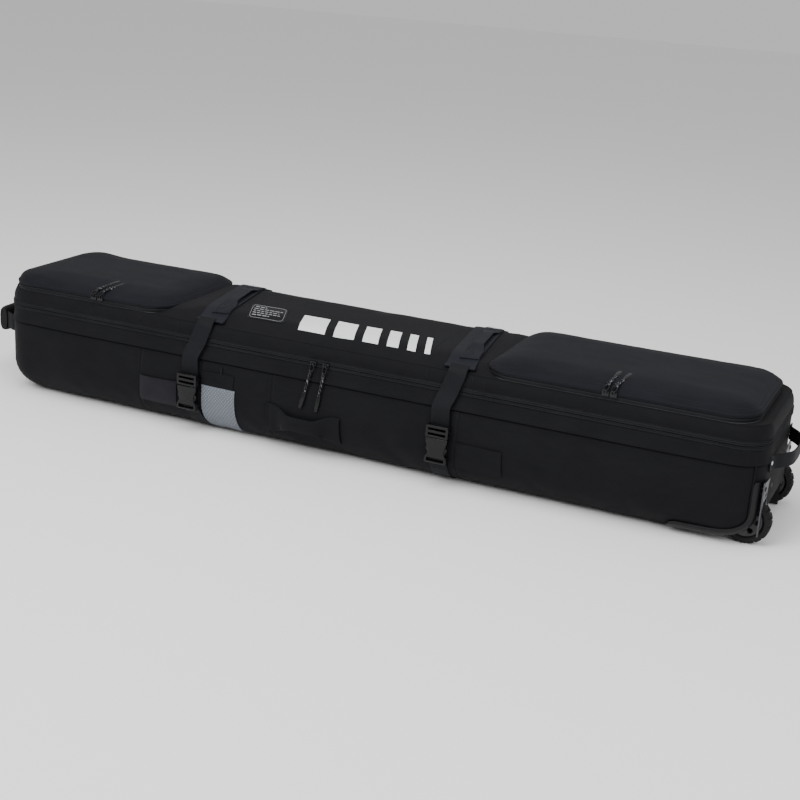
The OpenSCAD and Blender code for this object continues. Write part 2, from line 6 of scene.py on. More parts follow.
import logging
import math
from collections.abc import Callable, Iterable, Sequence
from dataclasses import dataclass, field
from enum import Enum

import bmesh
import bpy
import numpy as np
from mathutils import Matrix, Vector, noise
from mathutils.bvhtree import BVHTree


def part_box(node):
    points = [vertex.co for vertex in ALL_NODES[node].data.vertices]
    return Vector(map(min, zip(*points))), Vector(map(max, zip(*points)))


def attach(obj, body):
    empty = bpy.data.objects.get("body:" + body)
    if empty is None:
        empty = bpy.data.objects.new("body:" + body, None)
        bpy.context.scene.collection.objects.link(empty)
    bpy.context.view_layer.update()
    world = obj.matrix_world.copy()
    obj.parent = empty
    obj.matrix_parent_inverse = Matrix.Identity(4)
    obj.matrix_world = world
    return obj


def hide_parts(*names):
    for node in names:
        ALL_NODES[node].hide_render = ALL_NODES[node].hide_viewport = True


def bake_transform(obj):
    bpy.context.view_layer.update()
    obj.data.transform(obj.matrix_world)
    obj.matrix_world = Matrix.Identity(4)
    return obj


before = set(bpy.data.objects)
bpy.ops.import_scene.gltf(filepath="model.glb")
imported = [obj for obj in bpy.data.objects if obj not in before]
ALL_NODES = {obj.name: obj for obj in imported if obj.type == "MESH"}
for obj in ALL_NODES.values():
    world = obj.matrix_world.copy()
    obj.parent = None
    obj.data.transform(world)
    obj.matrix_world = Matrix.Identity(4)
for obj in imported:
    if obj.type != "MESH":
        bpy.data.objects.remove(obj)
LOG = logging.getLogger("snowboard_bag")
TINY = 1e-5
MM = 0.001


# ---------------------------------------------------------------- finishes


class Pattern(Enum):
    """Where a finish reads its pattern from."""

    CLOTH = "UV"
    SOLID = "Object"


class Weave(Enum):
    """How the threads of a fabric run."""

    PLAIN = "plain"
    TWILL = "twill"
    WEBBING = "webbing"
    DIAMOND = "diamond"


class NodeSheet:
    """A material's node tree with short calls for the nodes used here."""

    def __init__(self, name: str, pattern: Pattern) -> None:
        """Starts an empty material.

        Args:
            name: the material's name.
            pattern: the coordinates that its pattern reads.
        """
        self.material = bpy.data.materials.new(name)
        self.material.use_nodes = True
        self.tree = self.material.node_tree
        self.shader = self.tree.nodes["Principled BSDF"]
        coordinates = self.tree.nodes.new("ShaderNodeTexCoord")
        self.place = coordinates.outputs[pattern.value]

    def _mapped(self, key: str, value: tuple) -> bpy.types.NodeSocket:
        """The surface place, turned or stretched.

        Args:
            key: Rotation or Scale.
            value: its three numbers.

        Returns:
            The socket with the changed place.
        """
        mapping = self.tree.nodes.new("ShaderNodeMapping")
        mapping.inputs[key].default_value = value
        self.tree.links.new(self.place, mapping.inputs["Vector"])
        return mapping.outputs["Vector"]

    def wave(self, period: float, direction: str, turn: float = 0.0) -> bpy.types.NodeSocket:
        """A smooth ridge pattern.

        Args:
            period: distance between ridges in metres.
            direction: the axis across the ridges, X or Y.
            turn: angle in radians that the pattern is turned by.

        Returns:
            The socket with the ridge height from 0 to 1.
        """
        wave = self.tree.nodes.new("ShaderNodeTexWave")
        wave.bands_direction = direction
        wave.inputs["Scale"].default_value = 0.314 / period
        self.tree.links.new(self._mapped("Rotation", (0, 0, turn)), wave.inputs["Vector"])
        return wave.outputs["Fac"]

    def cloud(self, size: float, detail: float = 4.0, stretch: tuple = (1, 1, 1)) -> bpy.types.NodeSocket:
        """A soft noise pattern.

        Args:
            size: rough size of a patch in metres.
            detail: how many finer layers it has.
            stretch: scale along each axis.

        Returns:
            The socket with the noise from 0 to 1.
        """
        cloud = self.tree.nodes.new("ShaderNodeTexNoise")
        cloud.inputs["Scale"].default_value = 1 / size
        cloud.inputs["Detail"].default_value = detail
        self.tree.links.new(self._mapped("Scale", stretch), cloud.inputs["Vector"])
        return cloud.outputs["Fac"]

    def spots(self, size: float) -> bpy.types.NodeSocket:
        """Cells of a given size, as the distance to each cell's middle.

        Args:
            size: the size of a cell.

        Returns:
            The socket with the distances.
        """
        spots = self.tree.nodes.new("ShaderNodeTexVoronoi")
        spots.inputs["Scale"].default_value = 1 / size
        self.tree.links.new(self.place, spots.inputs["Vector"])
        return spots.outputs["Distance"]

    def blend(
        self, kind: str, a: bpy.types.NodeSocket, b: bpy.types.NodeSocket | float
    ) -> bpy.types.NodeSocket:
        """Joins two values with a maths operation.

        Args:
            kind: the operation, such as ADD or MULTIPLY.
            a: the first value's socket.
            b: the second value or its socket.

        Returns:
            The socket with the result.
        """
        node = self.tree.nodes.new("ShaderNodeMath")
        node.operation = kind
        self.tree.links.new(a, node.inputs[0])
        if isinstance(b, (int, float)):
            node.inputs[1].default_value = b
        else:
            self.tree.links.new(b, node.inputs[1])
        return node.outputs[0]

    def mix(
        self, a: bpy.types.NodeSocket, b: bpy.types.NodeSocket, share: float
    ) -> bpy.types.NodeSocket:
        """Adds two values by weight; share is b's part."""
        return self.blend("ADD", self.blend("MULTIPLY", a, 1 - share), self.blend("MULTIPLY", b, share))

    def span(self, value: bpy.types.NodeSocket, low: float, high: float) -> bpy.types.NodeSocket:
        """Stretches a value from 0..1 to another span.

        Args:
            value: the socket to stretch.
            low: what 0 becomes.
            high: what 1 becomes.

        Returns:
            The socket with the new value.
        """
        node = self.tree.nodes.new("ShaderNodeMapRange")
        node.inputs["To Min"].default_value = low
        node.inputs["To Max"].default_value = high
        self.tree.links.new(value, node.inputs["Value"])
        return node.outputs["Result"]

    def ramp(self, value: bpy.types.NodeSocket, stops: Sequence[tuple]) -> bpy.types.NodeSocket:
        """Turns a value into a colour.

        Args:
            value: the socket to colour.
            stops: pairs of a place from 0 to 1 and an RGB colour.

        Returns:
            The colour's socket.
        """
        node = self.tree.nodes.new("ShaderNodeValToRGB")
        elements = node.color_ramp.elements
        while len(elements) < len(stops):
            elements.new(0.5)
        for element, (position, colour) in zip(elements, stops):
            element.position = position
            element.color = (*colour, 1)
        self.tree.links.new(value, node.inputs["Fac"])
        return node.outputs["Color"]

    def bump(self, height: bpy.types.NodeSocket, distance: float, strength: float = 1.0) -> None:
        """Presses a height pattern into the surface.

        Args:
            height: the socket with the height from 0 to 1.
            distance: the full depth in metres.
            strength: how much of it shows.
        """
        node = self.tree.nodes.new("ShaderNodeBump")
        node.inputs["Distance"].default_value = distance
        node.inputs["Strength"].default_value = strength
        before = self.shader.inputs["Normal"]
        if before.is_linked:
            self.tree.links.new(before.links[0].from_socket, node.inputs["Normal"])
        self.tree.links.new(height, node.inputs["Height"])
        self.tree.links.new(node.outputs["Normal"], before)

    def set(self, **values: float | tuple) -> None:
        """Sets constants on the shader's own sockets; underscores stand for spaces."""
        for key, value in values.items():
            self.shader.inputs[key.replace("_", " ")].default_value = value

    def colour(self, value: bpy.types.NodeSocket, *stops: tuple) -> None:
        """Colours the surface by a value, with stops as in ramp."""
        self.tree.links.new(self.ramp(value, stops), self.shader.inputs["Base Color"])

    def roughness(self, value: bpy.types.NodeSocket, low: float, high: float) -> None:
        """Makes the surface rough by a value, from low to high."""
        self.tree.links.new(self.span(value, low, high), self.shader.inputs["Roughness"])


def shade(colour: Sequence[float], share: float) -> tuple:
    """A colour made darker or lighter by a share."""
    return tuple(min(1.0, c * share) for c in colour)


@dataclass(frozen=True)
class Fabric:
    """A woven cloth or webbing."""

    name: str
    colour: tuple
    weave: Weave = Weave.PLAIN
    thread: float = 0.0011
    depth: float = 0.00022
    roughness: float = 0.62
    sheen: float = 0.02
    fade: float = 0.22
    slot: str = "body_fabric"
    gloss: float = 0.14

    def build(self) -> bpy.types.Material:
        """Makes the material: threads, slubs, faded patches and soft dents.

        Returns:
            The material.
        """
        sheet = NodeSheet(self.name, Pattern.CLOTH)
        if self.weave is Weave.DIAMOND:
            threads = sheet.blend(
                "MULTIPLY",
                sheet.wave(self.thread, "X", math.radians(40)),
                sheet.wave(self.thread, "X", math.radians(-40)),
            )
        elif self.weave is Weave.WEBBING:
            threads = sheet.blend(
                "MULTIPLY",
                sheet.wave(self.thread, "Y"),
                sheet.span(sheet.wave(2.4 * self.thread, "X"), 0.35, 1.0),
            )
        elif self.weave is Weave.TWILL:
            threads = sheet.blend(
                "MULTIPLY",
                sheet.wave(self.thread, "X", math.radians(63)),
                sheet.span(sheet.wave(self.thread, "X"), 0.5, 1.0),
            )
        else:
            threads = sheet.blend(
                "ADD",
                sheet.blend("MULTIPLY", sheet.wave(self.thread, "X"), sheet.wave(self.thread, "Y")),
                sheet.blend("MULTIPLY", sheet.cloud(0.0016, 2, (1, 0.12, 1)), 0.5),
            )
        faded = sheet.cloud(0.11, 5)
        slubs = sheet.cloud(0.012, 3, (0.25, 1, 1))
        tone = sheet.mix(faded, slubs, 0.4)
        if self.weave is Weave.DIAMOND:
            tone = sheet.mix(tone, threads, 0.75)
        dark, light = shade(self.colour, 1 - self.fade), shade(self.colour, 1 + self.fade)
        sheet.colour(tone, (0.32, dark), (0.68, light))
        sheet.roughness(tone, self.roughness - 0.07, self.roughness + 0.09)
        if self.weave is Weave.DIAMOND:
            sheet.bump(threads, self.depth, 1.0)
        sheet.bump(threads, self.depth, 0.55)
        sheet.bump(sheet.cloud(0.045, 3), 0.0008, 0.35)
        sheet.set(Sheen_Weight=self.sheen, Sheen_Roughness=0.45, Specular_IOR_Level=self.gloss)
        return sheet.material


@dataclass(frozen=True)
class Moulding:
    """A moulded plastic or rubber."""

    name: str
    colour: tuple
    roughness: float
    grain: float = 0.0009
    grain_depth: float = 0.00005
    coat: float = 0.0
    slot: str = "buckle_plastic"

    def build(self) -> bpy.types.Material:
        """Makes the material: pebbled grain, flow marks and rubbed patches.

        Returns:
            The material.
        """
        sheet = NodeSheet(self.name, Pattern.SOLID)
        rubbed = sheet.cloud(0.02, 5)
        sheet.colour(rubbed, (0.3, shade(self.colour, 0.8)), (0.75, shade(self.colour, 1.3)))
        sheet.roughness(rubbed, self.roughness - 0.06, self.roughness + 0.12)
        sheet.bump(sheet.spots(self.grain), self.grain_depth, 0.6)
        sheet.bump(sheet.cloud(0.006, 2), 0.00012, 0.3)
        sheet.set(Coat_Weight=self.coat, Coat_Roughness=0.12, Specular_IOR_Level=0.2)
        return sheet.material


@dataclass(frozen=True)
class Metal:
    """A bare or coated metal."""

    name: str
    colour: tuple
    roughness: float
    metallic: float = 1.0
    slot: str = "steel"

    def build(self) -> bpy.types.Material:
        """Makes the material: fine brushing and dull spots.

        Returns:
            The material.
        """
        sheet = NodeSheet(self.name, Pattern.SOLID)
        dull = sheet.cloud(0.009, 5)
        brushed = sheet.cloud(0.0012, 3, (0.08, 1, 1))
        sheet.colour(dull, (0.3, shade(self.colour, 0.78)), (0.7, self.colour))
        sheet.roughness(dull, self.roughness - 0.08, self.roughness + 0.14)
        sheet.bump(brushed, 0.00004, 0.5)
        sheet.set(Metallic=self.metallic)
        return sheet.material


@dataclass(frozen=True)
class FleckedCord:
    """Braided cord with pale flecks."""

    name: str
    colour: tuple
    fleck: tuple
    slot: str = "pull_plastic"

    def build(self) -> bpy.types.Material:
        """Makes the material: a braid with some pale threads in it.

        Returns:
            The material.
        """
        sheet = NodeSheet(self.name, Pattern.SOLID)
        flecks = sheet.cloud(0.0035, 2, (1, 1, 0.55))
        sheet.colour(flecks, (0.56, self.colour), (0.64, self.fleck))
        sheet.bump(sheet.spots(0.0012), 0.00018, 0.9)
        sheet.roughness(flecks, 0.3, 0.5)
        sheet.set(Specular_IOR_Level=0.3)
        return sheet.material


BODY_CLOTH = Fabric("body_cloth", (0.0060, 0.0061, 0.0074), roughness=0.76, gloss=0.09)
TOP_CLOTH = Fabric("top_cloth", (0.0078, 0.0080, 0.0110), slot="top_fabric", roughness=0.72, gloss=0.09)
LINER = Fabric("liner_cloth", (0.05, 0.052, 0.056), thread=0.0016, roughness=0.7)
STRAP_WEB = Fabric(
    "strap_webbing", (0.0042, 0.0050, 0.0066), Weave.WEBBING, 0.0017, 0.0004, 0.62, 0.01, 0.2, "webbing"
)
BAND_WEB = Fabric(
    "band_webbing", (0.0078, 0.0088, 0.0130), Weave.WEBBING, 0.0019, 0.0004, 0.66, 0.01, 0.2, "webbing"
)
TAPE = Fabric(
    "zip_tape_cloth", (0.0080, 0.0086, 0.0100), Weave.TWILL, 0.0019, 0.0005, 0.66, 0.01, 0.35, "zip_tape"
)
POCKET_SHEET = Fabric(
    "id_pocket_cloth", (0.0068, 0.0066, 0.0100), Weave.PLAIN, 0.0011, 0.0001, 0.5, 0.02, 0.2, "top_fabric"
)
MIRROR_WEAVE = Fabric(
    "reflective_weave", (0.150, 0.164, 0.190), Weave.DIAMOND, 0.0054, 0.0004, 0.5, 0.0, 0.26, "reflective"
)
THREAD = Fabric("sewing_thread", (0.016, 0.016, 0.018), thread=0.0006, slot="webbing", roughness=0.5)
LABEL_CLOTH = Fabric("label_cloth", (0.009, 0.009, 0.010), thread=0.0008, slot="label", roughness=0.6)
LABEL_INK = Fabric("label_thread", (0.24, 0.245, 0.255), thread=0.0008, slot="label", roughness=0.6)
PRINT_INK = Fabric("print_ink", (0.78, 0.79, 0.80), thread=0.0011, depth=0.00012, slot="label", fade=0.06)
BOARD = Moulding("board_sheet", (0.035, 0.035, 0.037), 0.6, 0.002, 0.0001, 0, "board_plastic")
GLOSS_BLACK = Moulding("buckle_black", (0.0045, 0.0045, 0.0055), 0.24, 0.0012, 0.00002, 0.08)
GUARD_BLACK = Moulding("guard_black", (0.0060, 0.0060, 0.0070), 0.4, 0.0011, 0.00007, 0.0, "moulded_guard")
RUBBER = Moulding("grip_rubber", (0.0045, 0.0045, 0.005), 0.52, 0.0016, 0.00012, 0, "grip_rubber")
TYRE = Moulding("tyre_rubber", (0.0055, 0.0055, 0.006), 0.6, 0.0013, 0.0001, 0, "wheel_tyre")
HUB_PLASTIC = Moulding("hub_plastic", (0.03, 0.03, 0.032), 0.4, 0.0012, 0.00005, 0.1, "wheel_plastic")
PULL_BLACK = Moulding("pull_black", (0.0035, 0.0035, 0.0045), 0.22, 0.0015, 0.00003, 0.08, "pull_plastic")
BRACKET = Metal("bracket_alloy", (0.085, 0.087, 0.094), 0.42, 0.9, "bracket_metal")
STEEL = Metal("bright_steel", (0.6, 0.61, 0.63), 0.28)
DARK_STEEL = Metal("dark_steel", (0.035, 0.035, 0.04), 0.34, 0.6, "dark_steel")
SLIDER_METAL = Metal("slider_metal", (0.012, 0.012, 0.014), 0.3, 0.5, "slider_metal")
CORD = FleckedCord("pull_cord", (0.004, 0.004, 0.005), (0.14, 0.14, 0.16))

Finish = Fabric | Moulding | Metal | FleckedCord
_MADE: dict[str, bpy.types.Material] = {}


def finish_of(finish: Finish) -> bpy.types.Material:
    """The material of a finish, made once."""
    if finish.name not in _MADE:
        _MADE[finish.name] = finish.build()
    return _MADE[finish.name]


# ---------------------------------------------------------------- mesh tools


def cloth_uv(mesh: bpy.types.Mesh) -> None:
    """Lays a UV map in metres on a mesh, each face seen along its nearest axis.

    Args:
        mesh: the mesh to map.
    """
    count = len(mesh.polygons)
    if count == 0:
        return
    normals = np.empty(count * 3)
    mesh.polygons.foreach_get("normal", normals)
    totals = np.empty(count, np.int32)
    mesh.polygons.foreach_get("loop_total", totals)
    corners = np.empty(len(mesh.loops), np.int32)
    mesh.loops.foreach_get("vertex_index", corners)
    points = np.empty(len(mesh.vertices) * 3)
    mesh.vertices.foreach_get("co", points)
    points = points.reshape(-1, 3)[corners]
    axis = np.repeat(np.abs(normals.reshape(-1, 3)).argmax(1), totals)
    first = np.where(axis == 0, points[:, 1], points[:, 0])
    second = np.where(axis == 2, points[:, 1], points[:, 2])
    layer = mesh.uv_layers.new(name="cloth")
    layer.data.foreach_set("uv", np.column_stack((first, second)).ravel())


def raw_piece(name: str, bm: bmesh.types.BMesh) -> bpy.types.Object:
    """Puts a mesh in the making into the scene with its faces turned outwards.

    Args:
        name: the object's name.
        bm: the mesh, which is used up.

    Returns:
        The object.
    """
    bmesh.ops.recalc_face_normals(bm, faces=bm.faces)
    mesh = bpy.data.meshes.new(name)
    bm.to_mesh(mesh)
    bm.free()
    piece = bpy.data.objects.new(name, mesh)
    bpy.context.scene.collection.objects.link(piece)
    return piece


def finish_piece(
    name: str,
    bm: bmesh.types.BMesh,
    finish: Finish,
    body: str | None,
    replaced: Sequence[str] = (),
    smooth: float = 40.0,
) -> bpy.types.Object:
    """body: the moving body that it rides on, or None where it spans two and rides on neither.
        replaced: the frame nodes that it stands for.
        smooth: the angle in degrees above which an edge stays sharp.

    Returns:
        The piece.
    """
    bmesh.ops.remove_doubles(bm, verts=bm.verts, dist=TINY)
    return dress(raw_piece(name, bm), finish, body, replaced, smooth)


def remade(
    name: str, node: str, finish: Finish, body: str, width: float, segments: int = 2
) -> bpy.types.Object:
    """Stands in for a frame node with the same shape and softer edges.

    Args:
        name: the piece's name.
        node: the frame node.
        finish: what it is made of.
        body: the moving body that it rides on.
        width: how far the rounding of its edges reaches.
        segments: how many steps the rounding has.

    Returns:
        The piece.
    """
    return finish_piece(name, refined(node, width, segments), finish, body, [node])


def dress(
    piece: bpy.types.Object,
    finish: Finish,
    body: str | None,
    replaced: Sequence[str] = (),
    smooth: float = 40.0,
) -> bpy.types.Object:
    """Gives a piece its surface map, material, smooth faces and body, as in finish_piece.

    Args:
        piece: the object.
        finish: what it is made of.
        body: the moving body that it rides on, or None where it spans two and rides on neither.
        replaced: the frame nodes that it stands for.
        smooth: the angle in degrees above which an edge stays sharp.

    Returns:
        The piece.
    """
    if not piece.data.uv_layers:
        cloth_uv(piece.data)
    if not piece.data.materials:
        piece.data.materials.append(finish_of(finish))
    piece.data.shade_smooth()
    piece.data.set_sharp_from_angle(angle=math.radians(smooth))
    if body:
        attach(piece, body)
    if replaced:
        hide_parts(*replaced)
    LOG.info("%s: %d faces", piece.name, len(piece.data.polygons))
    return piece


def apply_modifiers(piece: bpy.types.Object) -> None:
    """Bakes a piece's modifiers into its mesh.

    Args:
        piece: the object, changed in place.
    """
    graph = bpy.context.evaluated_depsgraph_get()
    mesh = bpy.data.meshes.new_from_object(piece.evaluated_get(graph))
    piece.modifiers.clear()
    piece.data = mesh


def bevel_edges(bm: bmesh.types.BMesh, edges: Iterable, width: float, segments: int = 2) -> None:
    """Rounds edges of a mesh.

    Args:
        bm: the mesh.
        edges: the edges to round.
        width: how far the rounding reaches.
        segments: how many steps it has.
    """
    bmesh.ops.bevel(
        bm,
        geom=list(edges),
        offset=width,
        segments=segments,
        profile=0.5,
        affect="EDGES",
        clamp_overlap=True,
        material=-1,
    )


def sharp_edges(bm: bmesh.types.BMesh, degrees: float = 35.0) -> list:
    """The edges where two faces meet at more than an angle."""
    limit = math.radians(degrees)
    return [e for e in bm.edges if len(e.link_faces) == 2 and e.calc_face_angle(0) > limit]


def everything(bm: bmesh.types.BMesh) -> list:
    """All corners, edges and faces of a mesh."""
    return bm.verts[:] + bm.edges[:] + bm.faces[:]


def new_corners(made: Iterable) -> list:
    """The corners among what an operation made."""
    return [g for g in made if isinstance(g, bmesh.types.BMVert)]


def new_edges(made: Iterable) -> list:
    """The edges among what an operation made."""
    return [g for g in made if isinstance(g, bmesh.types.BMEdge)]


def upright_edges(bm: bmesh.types.BMesh) -> list:
    """The edges that rise along Z."""
    return [e for e in bm.edges if abs(e.verts[0].co.z - e.verts[1].co.z) > TINY]


def block(low: Sequence[float], high: Sequence[float]) -> bmesh.types.BMesh:
    """A box between two corners.

    Args:
        low: the lowest corner.
        high: the highest corner.

    Returns:
        The mesh.
    """
    low, high = Vector(low), Vector(high)
    bm = bmesh.new()
    place = Matrix.Translation((low + high) / 2) @ Matrix.Diagonal((*(high - low), 1))
    bmesh.ops.create_cube(bm, size=1, matrix=place)
    return bm


def net(columns: int, rows: int, size: float = 0.5) -> bmesh.types.BMesh:
    """A flat sheet of faces, centred on the origin, to be bent into cloth.

    Args:
        columns: faces along X.
        rows: faces along Y.
        size: half its width.

    Returns:
        The mesh.
    """
    bm = bmesh.new()
    bmesh.ops.create_grid(bm, x_segments=columns, y_segments=rows, size=size)
    return bm


def closed_line(bm: bmesh.types.BMesh, points: Iterable[Sequence[float]]) -> list:
    """Joins points into a closed line and returns its edges."""
    ring = [bm.verts.new(p) for p in points]
    return [bm.edges.new(pair) for pair in zip(ring, ring[1:] + ring[:1])]


def next_row(bm: bmesh.types.BMesh, edges: list) -> tuple[list, list]:
    """Grows a new row of faces from open edges and returns its corners and edges.

    Args:
        bm: the mesh to grow.
        edges: its open edges.

    Returns:
        The new corners and the new open edges.
    """
    made = bmesh.ops.extrude_edge_only(bm, edges=edges)["geom"]
    corners = new_corners(made)
    fresh = set(corners)
    return corners, [e for e in new_edges(made) if fresh.issuperset(e.verts)]


def prism(points: Iterable[Sequence[float]], along: Sequence[float]) -> bmesh.types.BMesh:
    """A solid made by carrying a flat outline straight along.

    Args:
        points: the outline's corners.
        along: how far it is carried.

    Returns:
        The mesh.
    """
    bm = bmesh.new()
    bmesh.ops.contextual_create(bm, geom=closed_line(bm, points))
    made = bmesh.ops.extrude_face_region(bm, geom=bm.faces[:])["geom"]
    bmesh.ops.translate(bm, verts=new_corners(made), vec=along)
    return bm


def rounded_block(
    half_l: float, half_w: float, radius: float, z0: float, z1: float, steps: int = 10
) -> bmesh.types.BMesh:
    """A box with round upright corners, centred on the origin.

    Args:
        half_l: half its length along X.
        half_w: half its width along Y.
        radius: the corners' radius.
        z0: height of its underside.
        z1: height of its top.
        steps: faces round each corner.

    Returns:
        The mesh.
    """
    bm = block((-half_l, -half_w, z0), (half_l, half_w, z1))
    bevel_edges(bm, upright_edges(bm), radius, steps)
    return bm


def cut_across(bm: bmesh.types.BMesh, axis: int, places: Iterable[float]) -> None:
    """Cuts rows of edges across an axis.

    Args:
        bm: the mesh.
        axis: 0 for X, 1 for Y, 2 for Z.
        places: where to cut.
    """
    normal = Vector([float(i == axis) for i in range(3)])
    for place in places:
        bmesh.ops.bisect_plane(
            bm, geom=everything(bm), dist=TINY, plane_co=normal * place, plane_no=normal
        )


def spread(low: float, high: float, pitch: float) -> list[float]:
    """Even places from low to high, about a pitch apart, without the ends."""
    count = max(1, round((high - low) / pitch))
    return [low + (high - low) * i / count for i in range(1, count)]


def between(a: Sequence[float], b: Sequence[float], count: int) -> list[tuple]:
    """Even points from a to b, both included, in a number of steps."""
    return [tuple(p + (q - p) * i / count for p, q in zip(a, b)) for i in range(count + 1)]


def ramp(value: float, low: float, high: float) -> float:
    """A smooth step from 0 at low to 1 at high."""
    share = min(1.0, max(0.0, (value - low) / (high - low)))
    return share * share * (3 - 2 * share)


def sweep(outline: Sequence[tuple], stations: Sequence[Matrix]) -> bmesh.types.BMesh:
    """Carries a closed outline through a row of places and closes both ends.

    Args:
        outline: the corners, as X and Y in each place's own frame.
        stations: the places.

    Returns:
        The mesh.
    """
    bm = bmesh.new()
    edges = closed_line(bm, (stations[0] @ Vector((u, v, 0)) for u, v in outline))
    bmesh.ops.contextual_create(bm, geom=edges)
    for here, there in zip(stations, stations[1:]):
        corners, edges = next_row(bm, edges)
        bmesh.ops.transform(bm, matrix=there @ here.inverted(), verts=corners)
    bmesh.ops.contextual_create(bm, geom=edges)
    return bm


def strip_outline(width: float, thickness: float) -> list[tuple]:
    """A flat strip's section with soft edges, its width along X."""
    w, t = width / 2, thickness / 2
    return [(-w, 0), (-w + 0.6 * t, -t), (w - 0.6 * t, -t), (w, 0), (w - 0.6 * t, t), (-w + 0.6 * t, t)]


def strip_stations(points: Sequence[Sequence[float]], across: Vector) -> list[Matrix]:
    """Places for a strip along a chain of points, its width along a given direction.

    Args:
        points: the strip's middle line.
        across: direction of its width.

    Returns:
        One place for each point.
    """
    path = [Vector(p) for p in points]
    stations = []
    for i, point in enumerate(path):
        along = (path[min(i + 1, len(path) - 1)] - path[max(i - 1, 0)]).normalized()
        side = (across - along * across.dot(along)).normalized()
        up = along.cross(side)
        stations.append(Matrix.Translation(point) @ Matrix((side, up, along)).transposed().to_4x4())
    return stations


def rounded_path(points: Sequence[Sequence[float]], pitch: float) -> list[Vector]:
    """A smooth path through points.

    Args:
        points: what it passes through.
        pitch: about how far apart its places are.

    Returns:
        The path.
    """
    path = [Vector(p) for p in points]
    ends = [path[0] * 2 - path[1], *path, path[-1] * 2 - path[-2]]
    made = []
    for a, b, c, d in zip(ends, ends[1:], ends[2:], ends[3:]):
        count = max(1, round((c - b).length / pitch))
        for i in range(count):
            t = i / count
            bent = (2 * a - 5 * b + 4 * c - d) * t * t + (3 * b - a - 3 * c + d) * t * t * t
            made.append(0.5 * (2 * b + (c - a) * t + bent))
    return [*made, path[-1]]


def tube(paths: Sequence[Sequence[Vector]], radius: float, closed: bool = False) -> bmesh.types.BMesh:
    """Round cord along one or more paths.

    Args:
        paths: the cords' middle lines.
        radius: the cord's radius.
        closed: whether each path joins its own start.

    Returns:
        The mesh.
    """
    curve = bpy.data.curves.new("cord", "CURVE")
    curve.dimensions = "3D"
    curve.bevel_depth = radius
    curve.bevel_resolution = 3
    curve.use_fill_caps = True
    for path in paths:
        spline = curve.splines.new("POLY")
        spline.points.add(len(path) - 1)
        for point, place in zip(spline.points, path):
            point.co = (*place, 1)
        spline.use_cyclic_u = closed
    carrier = bpy.data.objects.new("cord", curve)
    bpy.context.scene.collection.objects.link(carrier)
    bpy.context.view_layer.update()
    graph = bpy.context.evaluated_depsgraph_get()
    mesh = bpy.data.meshes.new_from_object(carrier.evaluated_get(graph))
    bm = bmesh.new()
    bm.from_mesh(mesh)
    bpy.data.objects.remove(carrier)
    bpy.data.meshes.remove(mesh)
    return bm


def stitches(
    paths: Sequence[Sequence[Vector]], pitch: float = 0.0042, radius: float = 0.00045
) -> bmesh.types.BMesh:
    """Rows of single stitches.

    Args:
        paths: the sewn lines, which lie on the cloth.
        pitch: distance between stitches.
        radius: the thread's radius.

    Returns:
        The mesh.
    """
    bm = bmesh.new()
    for path in paths:
        left = 0.0
        for a, b in zip(path, path[1:]):
            run = (b - a).length
            if run < TINY:
                continue
            turn = (b - a).to_track_quat("X", "Z").to_matrix().to_4x4()
            while left < run:
                place = Matrix.Translation(a.lerp(b, left / run)) @ turn
                shape = place @ Matrix.Diagonal((0.36 * pitch, radius, radius, 1))
                bmesh.ops.create_icosphere(bm, subdivisions=1, radius=1, matrix=shape)
                left += pitch
            left -= run
    return bm


def flatten_rear(bm: bmesh.types.BMesh, limit: float) -> None:
    """Presses what stands out past the rear hinge line almost flush.

    Args:
        bm: the mesh.
        limit: Y past which it is pressed in.
    """
    for v in bm.verts:
        if v.co.y > limit:
            v.co.y = limit + 0.1 * (v.co.y - limit)


def closed_path(points: Sequence[Vector], least: float = 0.002) -> list[Vector]:
    """A closed line without doubled points.

    Args:
        points: the line.
        least: the least distance between two points.

    Returns:
        The thinned line.
    """
    clean = [points[0]]
    for p in points[1:]:
        if (p - clean[-1]).length > least:
            clean.append(p)
    if (clean[0] - clean[-1]).length < 2 * least:
        clean.pop()
    return clean


def merged(*parts: bmesh.types.BMesh) -> bmesh.types.BMesh:
    """Puts several meshes into one and frees them.

    Args:
        parts: the meshes, which are used up.

    Returns:
        The joined mesh.
    """
    whole = bmesh.new()
    for part in parts:
        carrier = bpy.data.meshes.new("part")
        part.to_mesh(carrier)
        part.free()
        whole.from_mesh(carrier)
        bpy.data.meshes.remove(carrier)
    return whole


def refined(node: str, width: float, segments: int = 2, angle: float = 35.0) -> bmesh.types.BMesh:
    """A copy of a frame node with its sharp edges rounded.

    Args:
        node: the node's name.
        width: how far the rounding reaches.
        segments: how many steps it has.
        angle: edges sharper than this many degrees are rounded.

    Returns:
        The mesh.
    """
    bm = bmesh.new()
    bm.from_mesh(ALL_NODES[node].data)
    bmesh.ops.remove_doubles(bm, verts=bm.verts, dist=TINY)
    bmesh.ops.dissolve_limit(
        bm, angle_limit=math.radians(1.0), verts=bm.verts, edges=bm.edges, delimit={"NORMAL"}
    )
    bevel_edges(bm, sharp_edges(bm, angle), width, segments)
    bmesh.ops.triangulate(bm, faces=[f for f in bm.faces if len(f.verts) > 4])
    return bm


CLOTH_NATURE = {
    "quality": 5,
    "mass": 0.3,
    "tension_stiffness": 18,
    "compression_stiffness": 18,
    "bending_stiffness": 1.2,
    "air_damping": 6,
    "use_pressure": True,
}


